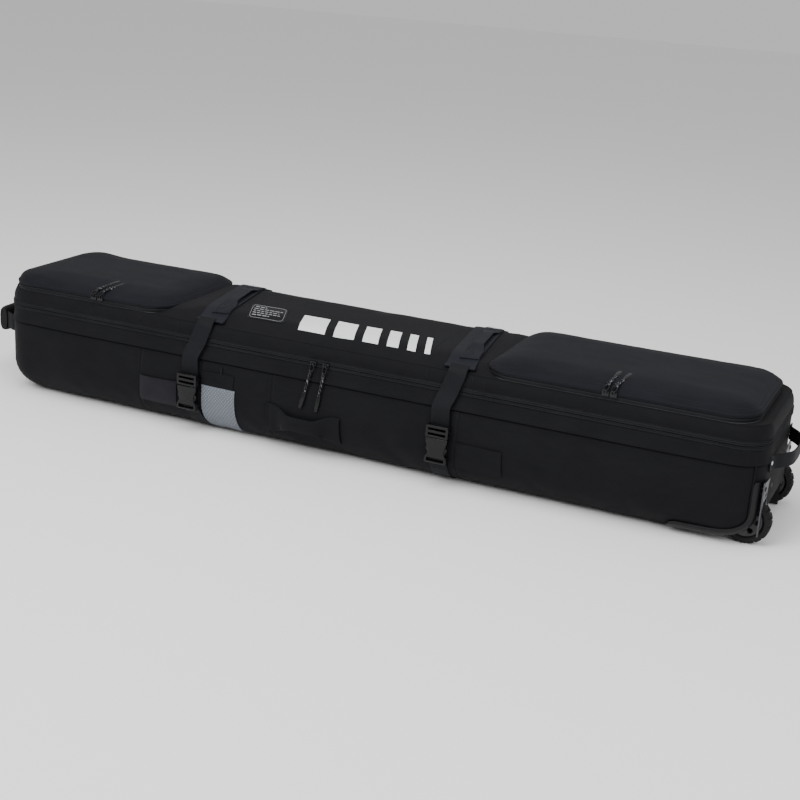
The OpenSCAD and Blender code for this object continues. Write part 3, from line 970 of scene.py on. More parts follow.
def inflate(
    piece: bpy.types.Object,
    held: Callable[[Vector], float],
    pressure: float,
    cap: float,
    slack: float = 0.0,
    frames: int = 16,
) -> None:
    """Blows a cloth skin up between its sewn lines and keeps the result.

    Args:
        piece: the skin.
        held: how firmly a point is held, from 0 to 1.
        pressure: the pressure inside.
        cap: the most that a point may move.
        slack: share of extra cloth between the sewn lines.
        frames: how long the cloth settles.
    """
    group = piece.vertex_groups.new(name="held")
    for vertex in piece.data.vertices:
        group.add([vertex.index], held(vertex.co), "REPLACE")
    cloth = piece.modifiers.new("Cloth", "CLOTH")
    for key, value in CLOTH_NATURE.items():
        setattr(cloth.settings, key, value)
    cloth.settings.uniform_pressure_force = pressure
    cloth.settings.shrink_min = -slack
    cloth.settings.shrink_max = -slack
    cloth.settings.vertex_group_mass = group.name
    cloth.settings.effector_weights.gravity = 0
    cloth.collision_settings.use_collision = False
    scene = bpy.context.scene
    for step in range(1, frames + 1):
        scene.frame_set(step)
    graph = bpy.context.evaluated_depsgraph_get()
    settled = piece.evaluated_get(graph).data
    for vertex, end in zip(piece.data.vertices, settled.vertices):
        move = end.co - vertex.co
        if move.length > cap:
            move *= cap / move.length
        vertex.co = vertex.co + move
    piece.modifiers.remove(cloth)
    piece.vertex_groups.remove(group)
    scene.frame_set(1)


def cut_away(piece: bpy.types.Object, cutters: Sequence[bmesh.types.BMesh]) -> None:
    """Takes solids away from a closed piece.

    Args:
        piece: the closed piece.
        cutters: the solids, which are used up.
    """
    for bm in cutters:
        tool = raw_piece("cutter", bm)
        cut = piece.modifiers.new("cut", "BOOLEAN")
        cut.object = tool
        cut.operation = "DIFFERENCE"
        cut.solver = "MANIFOLD"
        bpy.context.view_layer.update()
        apply_modifiers(piece)
        bpy.data.objects.remove(tool)


def soften(piece: bpy.types.Object) -> None:
    """Subdivides a piece once.

    Args:
        piece: the object, changed in place.
    """
    smooth = piece.modifiers.new("smooth", "SUBSURF")
    smooth.levels = 1
    smooth.render_levels = 1
    apply_modifiers(piece)


def thicken(
    piece: bpy.types.Object,
    thickness: float,
    outside: Fabric,
    inside: Fabric,
    cutters: Sequence[bmesh.types.BMesh] = (),
) -> None:
    """Gives a skin its padded wall, inwards, and cuts openings through it.

    Args:
        piece: the skin.
        thickness: the wall's thickness.
        outside: the outer cloth.
        inside: the lining.
        cutters: solids to take away from it.
    """
    wall = piece.modifiers.new("wall", "SOLIDIFY")
    wall.thickness = thickness
    wall.offset = -1
    wall.material_offset = 1
    for finish in (outside, inside):
        piece.data.materials.append(finish_of(finish))
    apply_modifiers(piece)
    cut_away(piece, cutters)


# ---------------------------------------------------------------- form of the bag


@dataclass(frozen=True)
class BagForm:
    """The padded body's outer form, which all fabric follows."""

    half_l: float
    half_w: float
    zip_z: float
    corner_r: float = 0.060
    foot_in: float = 0.058
    foot_h: float = 0.062
    swell: float = 0.0125
    swell_from: float = 0.012
    flat_from: float = 0.62
    lid_edge_z: float = 0.231
    lid_top_z: float = 0.247

    def _core(self) -> tuple[float, float]:
        """Half the length and width between the middles of the round corners."""
        return self.half_l - self.corner_r, self.half_w - self.corner_r

    def inset(self, z: float) -> float:
        """How far the wall stands in near the base, at a height."""
        share = (self.foot_h - min(max(z, 0.0), self.foot_h)) / self.foot_h
        return self.foot_in * (1 - math.sqrt(1 - share * share))

    def bulge(self, x: float, z: float) -> float:
        """How far the long walls swell out.

        Args:
            x: the length along the bag.
            z: the height.

        Returns:
            The distance.
        """
        share = min(1.0, max(0.0, (z - self.swell_from) / (self.zip_z - self.swell_from)))
        fullness = self.swell + 0.002 * ramp(x, -0.5, 0.25)
        along = 1 - ramp(abs(x), self.flat_from, self.half_l - 0.02)
        return fullness * along * math.sin(math.pi * share**0.7)

    def wall_y(self, x: float, z: float) -> float:
        """Distance of the long wall from the middle plane."""
        return self.half_w - self.inset(z) + self.bulge(x, z)

    def shaped(self, p: Vector) -> Vector:
        """Moves a point of the plain rounded box onto the bag's form.

        Args:
            p: the point.

        Returns:
            The moved point.
        """
        tuck = self.inset(p.z)
        core_x, core_y = self._core()
        cx = max(-core_x, min(core_x, p.x))
        cy = max(-core_y, min(core_y, p.y))
        x = cx - math.copysign(tuck * ramp(abs(cx), 0.45, core_x), cx) + (p.x - cx)
        y = cy * (core_y - tuck) / core_y + (p.y - cy)
        side = max(0.0, (abs(p.y) - core_y) / self.corner_r)
        y += math.copysign(self.bulge(p.x, p.z) * side, p.y)
        return Vector((x, y, p.z))

    def skirt(self, along: float, z: float, out: float) -> Vector:
        """A point on the front, round the wheel-end corner and on along the end wall.

        Args:
            along: distance along the outline from the front's middle.
            z: the height.
            out: how far outside the wall it is.

        Returns:
            The point.
        """

        def on_wall(a: float, height: float) -> Vector:
            """The wall's own point.

            Args:
                a: the distance along the wall and on round its corner.
                height: the height.

            Returns:
                The point.
            """
            core_x, core_y, r = *self._core(), self.corner_r
            past = abs(a) - core_x
            turn = min(max(past / r, 0.0), math.pi / 2)
            x = min(abs(a), core_x) + r * math.sin(turn)
            y = -core_y - r * math.cos(turn) + max(0.0, past - r * math.pi / 2)
            return self.shaped(Vector((math.copysign(x, a), y, height)))

        here = on_wall(along, z)
        across = on_wall(along + 0.002, z) - on_wall(along - 0.002, z)
        upwards = on_wall(along, z + 0.002) - on_wall(along, z - 0.002)
        return here + across.cross(upwards).normalized() * out

    def perimeter(self, out: float, z: float, pitch: float, rear_gap: float | None = None) -> list[Matrix]:
        """Places round the body at a height, with local X outwards and local Y up.

        Args:
            out: how far outside the body's side they are.
            z: the height.
            pitch: distance between places.
            rear_gap: half length left out in the middle of the rear, or None for all round.

        Returns:
            The places, from the rear's nose side round by the front.
        """
        core_x, core_y, r = *self._core(), self.corner_r + out
        gap = rear_gap or 0.0
        legs = [
            (Vector((-gap, core_y + r, z)), Vector((-core_x, core_y + r, z)), 90),
            (Vector((-core_x - r, core_y, z)), Vector((-core_x - r, -core_y, z)), 180),
            (Vector((-core_x, -core_y - r, z)), Vector((core_x, -core_y - r, z)), 270),
            (Vector((core_x + r, -core_y, z)), Vector((core_x + r, core_y, z)), 360),
            (Vector((core_x, core_y + r, z)), Vector((gap, core_y + r, z)), 450),
        ]
        stations = []
        for i, (start, end, heading) in enumerate(legs):
            facing = Matrix.Rotation(math.radians(heading), 4, "Z")
            frame_here = facing @ Matrix(((1, 0, 0, 0), (0, 0, -1, 0), (0, 1, 0, 0), (0, 0, 0, 1)))
            count = max(1, round((end - start).length / pitch))
            stations += [
                Matrix.Translation(start.lerp(end, k / count)) @ frame_here for k in range(count + 1)
            ]
            if i < len(legs) - 1:
                centre = Vector((math.copysign(core_x, end.x), math.copysign(core_y, end.y), z))
                if i in (0, 2):
                    centre.y = end.y - math.copysign(r, end.y)
                steps = max(3, round(r * math.pi / 2 / pitch))
                last = stations[-1]
                for k in range(1, steps):
                    spin = (
                        Matrix.Translation(centre)
                        @ Matrix.Rotation(math.pi / 2 * k / steps, 4, "Z")
                        @ Matrix.Translation(-centre)
                    )
                    stations.append(spin @ last)
        return stations


def bag_form() -> BagForm:
    """Reads the form's sizes from the frame."""
    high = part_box("tub_zip_tape")[1]
    return BagForm(half_l=high.x, half_w=high.y, zip_z=high.z + 0.4 * MM)


def wheel_arch(side: int) -> bmesh.types.BMesh:
    """The opening below the rail that shows the tyre.

    Args:
        side: -1 at the front, 1 at the rear.

    Returns:
        A solid to cut with.
    """
    corners = [(0.757, -0.02), (0.757, 0.0125), (0.775, 0.0140), (0.793, 0.0190), (0.806, 0.0275)]
    corners += [(0.814, 0.0365), (0.819, 0.050), (0.8215, 0.062), (0.880, 0.062), (0.880, -0.02)]
    return prism([(x, side * 0.0975, z) for x, z in corners], (0, side * 0.08, 0))


class Surface:
    """A finished skin that trims and straps are laid on."""

    def __init__(self, piece: bpy.types.Object) -> None:
        """Takes the skin as it is now.

        Args:
            piece: the skin.
        """
        bm = bmesh.new()
        bm.from_mesh(piece.data)
        self.tree = BVHTree.FromBMesh(bm)
        bm.free()

    def front(self, x: float, z: float, default: float) -> float:
        """Y of the skin's front at a place, or a default where there is none."""
        hit = self.tree.ray_cast(Vector((x, -0.4, z)), Vector((0, 1, 0)))[0]
        return hit.y if hit else default

    def top(self, x: float, y: float, default: float) -> float:
        """Z of the skin's top at a place, or a default where there is none."""
        hit = self.tree.ray_cast(Vector((x, y, 0.4)), Vector((0, 0, -1)))[0]
        return hit.z if hit else default


# ---------------------------------------------------------------- padded tub


@dataclass
class PaddedTub:
    """The lower body: padded walls, sewn panels, piping and liner."""

    form: BagForm
    wall: float = 0.009
    rim_z: float = 0.1872
    grid: float = 0.0165
    seams: tuple = (-0.465, -0.315, -0.150, 0.257)
    end_seams: tuple = (-0.8225, 0.8125)
    straps: tuple = (-0.338, 0.222)
    strip_z: float = 0.162
    surface: Surface | None = None

    def _held(self, p: Vector) -> float:
        """How firmly a point of the skin is sewn down.

        Args:
            p: the point.

        Returns:
            A share, higher where it is firmer.
        """
        if p.z < 0.006 or p.z > 0.150:
            return 1.0
        firm = 0.04 + 0.5 * ramp(p.z, 0.12, 0.150)
        if p.y < -0.08:
            firm = max(firm, *(1 - ramp(abs(p.x - s), 0.001, 0.012) for s in self.seams))
        for x in self.straps:
            firm = max(firm, 0.8 * (1 - ramp(abs(p.x - x), 0.012, 0.05)) if p.y < 0 else 0)
        firm = max(firm, *(1 - ramp(abs(p.x - s), 0.001, 0.006) for s in self.end_seams))
        return min(1.0, firm)

    def _crumple(self, p: Vector, normal: Vector) -> Vector:
        """A point moved by the soft dents of used padding and by the sewn grooves.

        Args:
            p: the point.
            normal: the skin's direction there.

        Returns:
            The moved point.
        """
        free = ramp(p.z, 0.004, 0.03) * (1 - ramp(p.z, 0.14, 0.165))
        dent = noise.noise(Vector((p.x * 7, p.y * 9, p.z * 13)))
        crease = noise.noise(Vector((p.x * 21 + p.z * 16, p.y * 9, p.z * 30 - p.x * 5)))
        depth = free * (0.0016 * dent + 0.0007 * crease)
        if abs(p.y) > 0.08 and p.z > 0.01:
            lines = self.seams if p.y < 0 else self.seams[::3]
            depth -= 0.0018 * (1 - ramp(abs(p.z - self.strip_z + 0.0032), 0.0008, 0.0036))
            for s in (*lines, *self.end_seams):
                depth -= 0.0016 * (1 - ramp(abs(p.x - s), 0.0004, 0.0034)) * (1 - ramp(p.z, 0.158, 0.162))
        return p + normal * depth

    def skin(self) -> bpy.types.Object:
        """The padded walls and base in one sewn shell.

        Returns:
            The piece.
        """
        f = self.form
        bm = rounded_block(f.half_l, f.half_w, f.corner_r, 0.0004, self.rim_z)
        bmesh.ops.delete(bm, geom=[x for x in bm.faces if x.normal.z > 0.9], context="FACES")
        lines = sorted({*self.seams, *self.end_seams})
        near = [s + d for s in lines for d in (-0.0035, 0.0, 0.0035)]
        plain = spread(-f.half_l + 0.05, f.half_l - 0.05, self.grid)
        plain = [x for x in plain if all(abs(x - s) > 0.009 for s in lines)]
        cut_across(bm, 0, near + plain)
        cut_across(bm, 1, spread(-f.half_w + 0.02, f.half_w - 0.02, 0.02))
        heights = [0.004, 0.009, 0.016, 0.025, 0.036, 0.049]
        heights += spread(0.049, 0.152, 0.0125) + [0.152, 0.1555, 0.1588, self.strip_z, 0.175]
        cut_across(bm, 2, heights)
        for vertex in bm.verts:
            vertex.co = f.shaped(vertex.co)
        piece = raw_piece("tub_padded_walls", bm)
        inflate(piece, self._held, 3.0, 0.005, 0.004)
        soften(piece)
        normals = [v.normal.copy() for v in piece.data.vertices]
        for vertex, normal in zip(piece.data.vertices, normals):
            vertex.co = self._crumple(vertex.co, normal)
        cutters = [self._well(-1), self._well(1), wheel_arch(-1), wheel_arch(1)]
        thicken(piece, self.wall, BODY_CLOTH, LINER, cutters)
        dress(piece, BODY_CLOTH, "tub", ["tub_shell"], 50)
        self.surface = Surface(piece)
        return piece

    def _well(self, side: int) -> bmesh.types.BMesh:
        """The space that a wheel's housing takes out of a corner."""
        low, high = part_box("front_wheel_tyre" if side < 0 else "rear_wheel_tyre")
        reach, floor, roof = 0.0075, -0.02, 0.1015
        return block((low.x - reach, low.y - 0.004, floor), (high.x + 0.03, high.y + 0.004, roof))

    def front_y(self, x: float, z: float) -> float:
        """Y of the front wall."""
        return self.surface.front(x, z, -self.form.wall_y(x, z))

    def storm_strip(self) -> None:
        """The folded strip below the zip, with a free lower edge."""
        bm = net(190, 6)
        start, stop, z0, z1 = -0.815, 1.05, self.strip_z - 0.0015, 0.1865
        for v in bm.verts:
            along = start + (stop - start) * (v.co.x + 0.5)
            share = v.co.y + 0.5
            lift = 0.0004 + 0.0034 * (1 - share) ** 1.6
            lift += 0.0005 * noise.noise(Vector((along * 30, 0, 0))) * (1 - share)
            v.co = self.form.skirt(along, z0 + (z1 - z0) * share, lift)
        bmesh.ops.solidify(bm, geom=bm.faces[:], thickness=0.0015)
        finish_piece("tub_storm_strip", bm, BODY_CLOTH, "tub")

    def piping(self) -> None:
        """Covered cord where the end panels join the long walls."""
        f = self.form
        heights = [0.0035, 0.006, 0.010, 0.016, 0.024, 0.034, 0.046, 0.06, 0.08, 0.10, 0.12, 0.14, 0.159]
        paths = []
        for x in self.end_seams:
            for side in (-1, 1):
                line = []
                for z in heights:
                    if x > 0 and z < 0.028:
                        continue
                    p = f.shaped(Vector((x, side * self._box_y(x), z)))
                    line.append(p + Vector((0, side * 0.0006, 0)))
                paths.append(line)
        finish_piece("tub_end_piping", tube(paths, 0.0018), BODY_CLOTH, "tub")

    def _box_y(self, x: float) -> float:
        """Half width of the plain rounded box at a length."""
        f = self.form
        past = max(0.0, abs(x) - (f.half_l - f.corner_r))
        return f.half_w - f.corner_r + math.sqrt(max(0.0, f.corner_r**2 - past * past))

    def patch(
        self,
        name: str,
        span_x: tuple,
        span_z: tuple,
        finish: Fabric,
        replaced: Sequence[str] = (),
        gap: float = 0.0004,
        thickness: float = 0.0009,
        puff: Callable[[float, float], float] | None = None,
    ) -> bpy.types.Object:
        """A panel sewn flat on the front wall.

        Args:
            name: the piece's name.
            span_x: its lowest and highest X.
            span_z: its lowest and highest Z.
            finish: its cloth.
            replaced: the nodes that it stands for.
            gap: how far it stands off the wall.
            thickness: the cloth's thickness.
            puff: extra standing-off for a share across and a share up, or None.

        Returns:
            The piece.
        """
        columns = max(4, round((span_x[1] - span_x[0]) / 0.006))
        rows = max(4, round((span_z[1] - span_z[0]) / 0.005))
        bm = net(columns, rows)
        for v in bm.verts:
            u, w = v.co.x + 0.5, v.co.y + 0.5
            x = span_x[0] + (span_x[1] - span_x[0]) * u
            z = span_z[0] + (span_z[1] - span_z[0]) * w
            extra = puff(u, w) if puff else 0.0
            v.co = Vector((x, self.front_y(x, z) - gap - thickness - extra, z))
        bmesh.ops.reverse_faces(bm, faces=bm.faces)
        bmesh.ops.solidify(bm, geom=bm.faces[:], thickness=thickness)
        return finish_piece(name, bm, finish, "tub", replaced)

    def sewn_line(self, a: Sequence[float], b: Sequence[float], count: int, lift: float) -> list[Vector]:
        """A straight line on the front wall.

        Args:
            a: X and Z of its start.
            b: X and Z of its end.
            count: its steps.
            lift: how far it stands off the wall.

        Returns:
            The line.
        """
        return [Vector((x, self.front_y(x, z) - lift, z)) for x, z in between(a, b, count)]

    def sewn_frame(self, span_x: tuple, span_z: tuple) -> list[list[Vector]]:
        """Four lines just inside the edge of a panel on the front wall.

        Args:
            span_x: the panel's lowest and highest X.
            span_z: its lowest and highest Z.

        Returns:
            The lines.
        """
        inset, lift = 0.0035, 0.0017
        x0, x1 = span_x[0] + inset, span_x[1] - inset
        z0, z1 = span_z[0] + inset, span_z[1] - inset
        corners = [(x0, z0), (x1, z0), (x1, z1), (x0, z1), (x0, z0)]
        return [
            self.sewn_line(a, b, max(2, round(math.dist(a, b) / 0.006)), lift)
            for a, b in zip(corners, corners[1:])
        ]

    @staticmethod
    def _sag(u: float, w: float) -> float:
        """How far the card pocket's mouth gapes, at a share across and a share up."""
        return 0.0022 * math.sin(math.pi * u) * w**2 + 0.0005 * math.sin(9 * u) * w

    def trims(self) -> None:
        """Panels, tabs and stitching on the front."""
        side_x, side_z = (0.257, 0.352), (0.044, 0.098)
        card_x = (-0.464, -0.372)
        self.patch("reflective_panel", (-0.311, -0.231), (0.008, 0.108), MIRROR_WEAVE, ["reflective_patch"])
        self.patch("side_panel", side_x, side_z, BODY_CLOTH, ["side_patch"], thickness=0.0014)
        self.patch("id_card_pocket", card_x, (0.046, 0.101), POCKET_SHEET, ["id_pocket"], puff=self._sag)
        self.patch("id_pocket_hem", card_x, (0.098, 0.1025), TAPE, gap=0.0012, puff=self._sag)
        self.patch("loop_backing", (-0.312, -0.236), (0.106, 0.137), BODY_CLOTH, gap=0.0003)
        tab_x, tab_z = (-0.2685, -0.2645), (0.134, 0.151)
        self.patch("bartack_tab", tab_x, tab_z, STRAP_WEB, gap=0.0006, thickness=0.0012)
        rows = []
        for s in self.seams:
            for x in (s - 0.0045, s + 0.0045):
                rows.append(self.sewn_line((x, 0.02), (x, self.strip_z - 0.004), 29, 0.0002))
        rows += self.sewn_frame(side_x, side_z)
        rows += self.sewn_frame((-0.305, -0.236), (0.016, 0.105))
        rows.append(self.sewn_line((-0.30, 0.135), (-0.24, 0.135), 6, 0.0014))
        finish_piece("tub_stitching", stitches(rows), THREAD, "tub")

    def base(self) -> None:
        """The moulded base sheet, the stiffening board and the tie-downs inside."""
        remade("base_sheet", "base_panel", GUARD_BLACK, "tub", 0.0009)
        remade("stiffening_board", "base_board", BOARD, "tub", 0.0012)
        low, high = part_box("tie_down_straps")
        parts = []
        for x in (-0.35, 0.35):
            z = (low.z + high.z) / 2
            rows = [low.y + (high.y - low.y) * i / 24 for i in range(25)]
            line = [(x, y, z + 0.0006 * math.sin(i * 0.9)) for i, y in enumerate(rows)]
            parts.append(sweep(strip_outline(0.025, 0.0018), strip_stations(line, Vector((1, 0, 0)))))
        finish_piece("tie_down_webbing", merged(*parts), STRAP_WEB, "tub", ["tie_down_straps"])
        remade("tie_down_ladder_locks", "tie_down_buckles", GLOSS_BLACK, "tub", 0.0014, 3)

    def build(self) -> None:
        """Makes the whole tub."""
        self.skin()
        self.storm_strip()
        self.piping()
        self.trims()
        self.base()


# ---------------------------------------------------------------- zips


def coil_tape(
    outline: Sequence[tuple], up: int, stations: Sequence[Matrix], teeth: Sequence[int], depth: float
) -> bmesh.types.BMesh:
    """A zip tape whose coil is pressed in at every other place.

    Args:
        outline: its section, outwards and up from its outer edge.
        up: 1 where the teeth are above the tape, -1 where they are below.
        stations: the places along it.
        teeth: the outline's corners that make the coil.
        depth: how deep the coil's gaps are.

    Returns:
        The mesh.
    """
    bm = sweep([(a, b * up) for a, b in outline], stations)
    bm.verts.ensure_lookup_table()
    for k in range(1, len(stations), 2):
        inwards = stations[k].to_3x3() @ Vector((-depth, 0, 0))
        for j in teeth:
            bm.verts[k * len(outline) + j].co += inwards
    return bm


@dataclass
class MainZip:
    """The long zip: two tapes with their coils, and the sewn hinge strip behind."""

    form: BagForm
    pitch: float = 0.0021
    tape_h: float = 0.0088
    hinge_half: float = 0.690

    def tape(self, name: str, node: str, body: str, z0: float, up: int) -> None:
        """One tape with its row of coil teeth.

        Args:
            name: the piece's name.
            node: the node that it stands for.
            body: the body that it rides on.
            z0: height of its outer edge, away from the teeth.
            up: 1 where the teeth are above the tape, -1 where they are below.
        """
        h = self.tape_h
        outline = [(-0.0010, 0.0), (0.0016, 0.0), (0.0024, 0.10 * h), (0.0014, 0.17 * h), (0.0028, 0.28 * h)]
        outline += [(0.0034, 0.42 * h), (0.0028, 0.56 * h), (0.0016, 0.64 * h), (0.0034, 0.80 * h)]
        outline += [(0.0026, h - 0.0004), (-0.0010, h)]
        stations = self.form.perimeter(-0.0015, z0, self.pitch, self.hinge_half)
        bm = coil_tape(outline, up, stations, (4, 5, 6, 8), 0.0011)
        flatten_rear(bm, self.form.half_w - 0.0006)
        finish_piece(name, bm, TAPE, body, [node], 60)

    def hinge_strip(self) -> None:
        """The cloth hinge that joins the lid to the tub along the rear."""
        bm = net(90, 14)
        z0, z1 = 0.1835, 0.2065
        for v in bm.verts:
            x = 2 * self.hinge_half * v.co.x
            z = z0 + (z1 - z0) * (v.co.y + 0.5)
            out = 0.0012 + 0.0012 * math.cos(math.pi * v.co.y)
            out += 0.0003 * noise.noise(Vector((x * 40, z * 90, 0)))
            v.co = Vector((x, self.form.half_w + self.form.bulge(x, min(z, self.form.zip_z)) + out, z))
        bmesh.ops.solidify(bm, geom=bm.faces[:], thickness=0.0016)
        strip = finish_piece("lid_hinge_strip", bm, TAPE, None)
        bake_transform(strip)

    def build(self) -> None:
        """Makes both tapes and the hinge strip."""
        z = self.form.zip_z
        self.tape("tub_zip_coil", "tub_zip_tape", "tub", z - 0.0004 - self.tape_h, 1)
        self.tape("lid_zip_coil", "lid_zip_tape", "lid", z + 0.0004 + self.tape_h, -1)
        self.hinge_strip()


@dataclass
class ZipPull:
    """A slider with its ring, two cords and moulded end."""

    name: str
    slider: str
    pull: str
    slope: float
    lean: float
    bend: float
    length: float
    eye: Vector = field(default_factory=Vector)
    neck: float = 0.005
    knee: float = 0.020

    def _placed(self, p: Vector) -> Vector:
        """Moves a point of the straight hanging pull to where it lies.

        Args:
            p: the point.

        Returns:
            The moved point.
        """
        lean = Matrix.Rotation(math.radians(self.lean), 3, "Y")
        bend = Matrix.Rotation(math.radians(self.bend), 3, "X")
        slope = Matrix.Rotation(math.radians(self.slope), 3, "X")
        q = p.copy()
        below = -q.z - self.knee
        if below > 0:
            knee = Vector((0, 0, self.neck - self.knee))
            local = q + Vector((0, 0, self.neck)) - knee
            q = lean @ (knee + bend @ local) + Vector((0, 0, -self.neck))
        elif -q.z > self.neck:
            q = lean @ (q + Vector((0, 0, self.neck))) + Vector((0, 0, -self.neck))
        return self.eye + slope @ q

    def _cords(self) -> bmesh.types.BMesh:
        """Two cords twisted round each other below the ring.

        Returns:
            The mesh.
        """
        start, end, turns, r = 0.013, self.length * 0.66, 2.6, 0.0016
        paths = []
        for phase in (0.0, math.pi):
            path = []
            for i in range(61):
                share = i / 60
                angle = phase + math.tau * turns * share
                open_up = 0.0020 + 0.0016 * math.sin(math.pi * min(1.0, share * 5))
                z = -(start + (end - start) * share)
                path.append(Vector((open_up * math.cos(angle), 0.0013 * math.sin(angle), z)))
            paths.append(path)
        return tube(paths, r)

    def _ring(self) -> bmesh.types.BMesh:
        """The moulded loop that joins the cords to the slider.

        Returns:
            The mesh.
        """
        path = []
        for i in range(36):
            angle = math.tau * i / 36
            path.append(Vector((0.0044 * math.sin(angle), 0.0, -0.0078 + 0.0078 * math.cos(angle))))
        return tube([path], 0.0014, closed=True)

    def _tip(self) -> bmesh.types.BMesh:
        """The ribbed moulded end.

        Returns:
            The mesh.
        """
        top, end = self.length * 0.62, self.length
        bm = block((-0.0043, -0.0019, -end), (0.0043, 0.0019, -top))
        bevel_edges(bm, upright_edges(bm), 0.0016, 3)
        cut_across(bm, 2, spread(-end, -top, 0.0019))
        for v in bm.verts:
            share = (-v.co.z - top) / (end - top)
            rib = 1 + 0.10 * math.cos((v.co.z + top) / 0.0038 * math.tau) * ramp(share, 0.05, 0.15)
            taper = 0.72 + 0.34 * math.sin(math.pi * min(1.0, 0.12 + 0.86 * share))
            v.co.x *= rib * taper
            v.co.y *= rib * taper
        return bm

    def build(self) -> None:
        """Makes the pull and its slider."""
        remade(f"{self.name}_slider", self.slider, SLIDER_METAL, self.slider, 0.0007, 3)
        for part, bm, finish in (
            ("cord", self._cords(), CORD),
            ("ring", self._ring(), PULL_BLACK),
            ("tip", self._tip(), PULL_BLACK),
        ):
            for v in bm.verts:
                v.co = self._placed(v.co)
            replaced = [self.pull] if part == "ring" else []
            finish_piece(f"{self.name}_{part}", bm, finish, self.pull, replaced, 60)


def zip_pulls() -> list[ZipPull]:
    """The six pulls, their eyes read from the frame.

    Returns:
        The pulls.
    """
    rows = [
        ("main_left", "main_slider_left", "main_pull_left", -8.5, 11, 0, 0.094),
        ("main_right", "main_slider_right", "main_pull_right", -8.5, 6, 0, 0.094),
        ("nose_pocket_a", "left_pocket_slider_a", "left_pocket_pull_a", 119, -12, -23, 0.082),
        ("nose_pocket_b", "left_pocket_slider_b", "left_pocket_pull_b", 119, -16, -23, 0.082),
        ("wheel_pocket_a", "right_pocket_slider_a", "right_pocket_pull_a", 119, -4, -23, 0.082),
        ("wheel_pocket_b", "right_pocket_slider_b", "right_pocket_pull_b", 119, -8, -23, 0.082),
    ]
    pulls = []
    for name, slider, pull, slope, lean, bend, length in rows:
        low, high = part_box(slider)
        eye_z = high.z - 0.002 if "pocket" in name else (low.z + high.z) / 2
        eye = Vector(((low.x + high.x) / 2, low.y + 0.002, eye_z))
        pulls.append(ZipPull(name, slider, pull, slope, lean, bend, length, eye))
    return pulls


# ---------------------------------------------------------------- lid


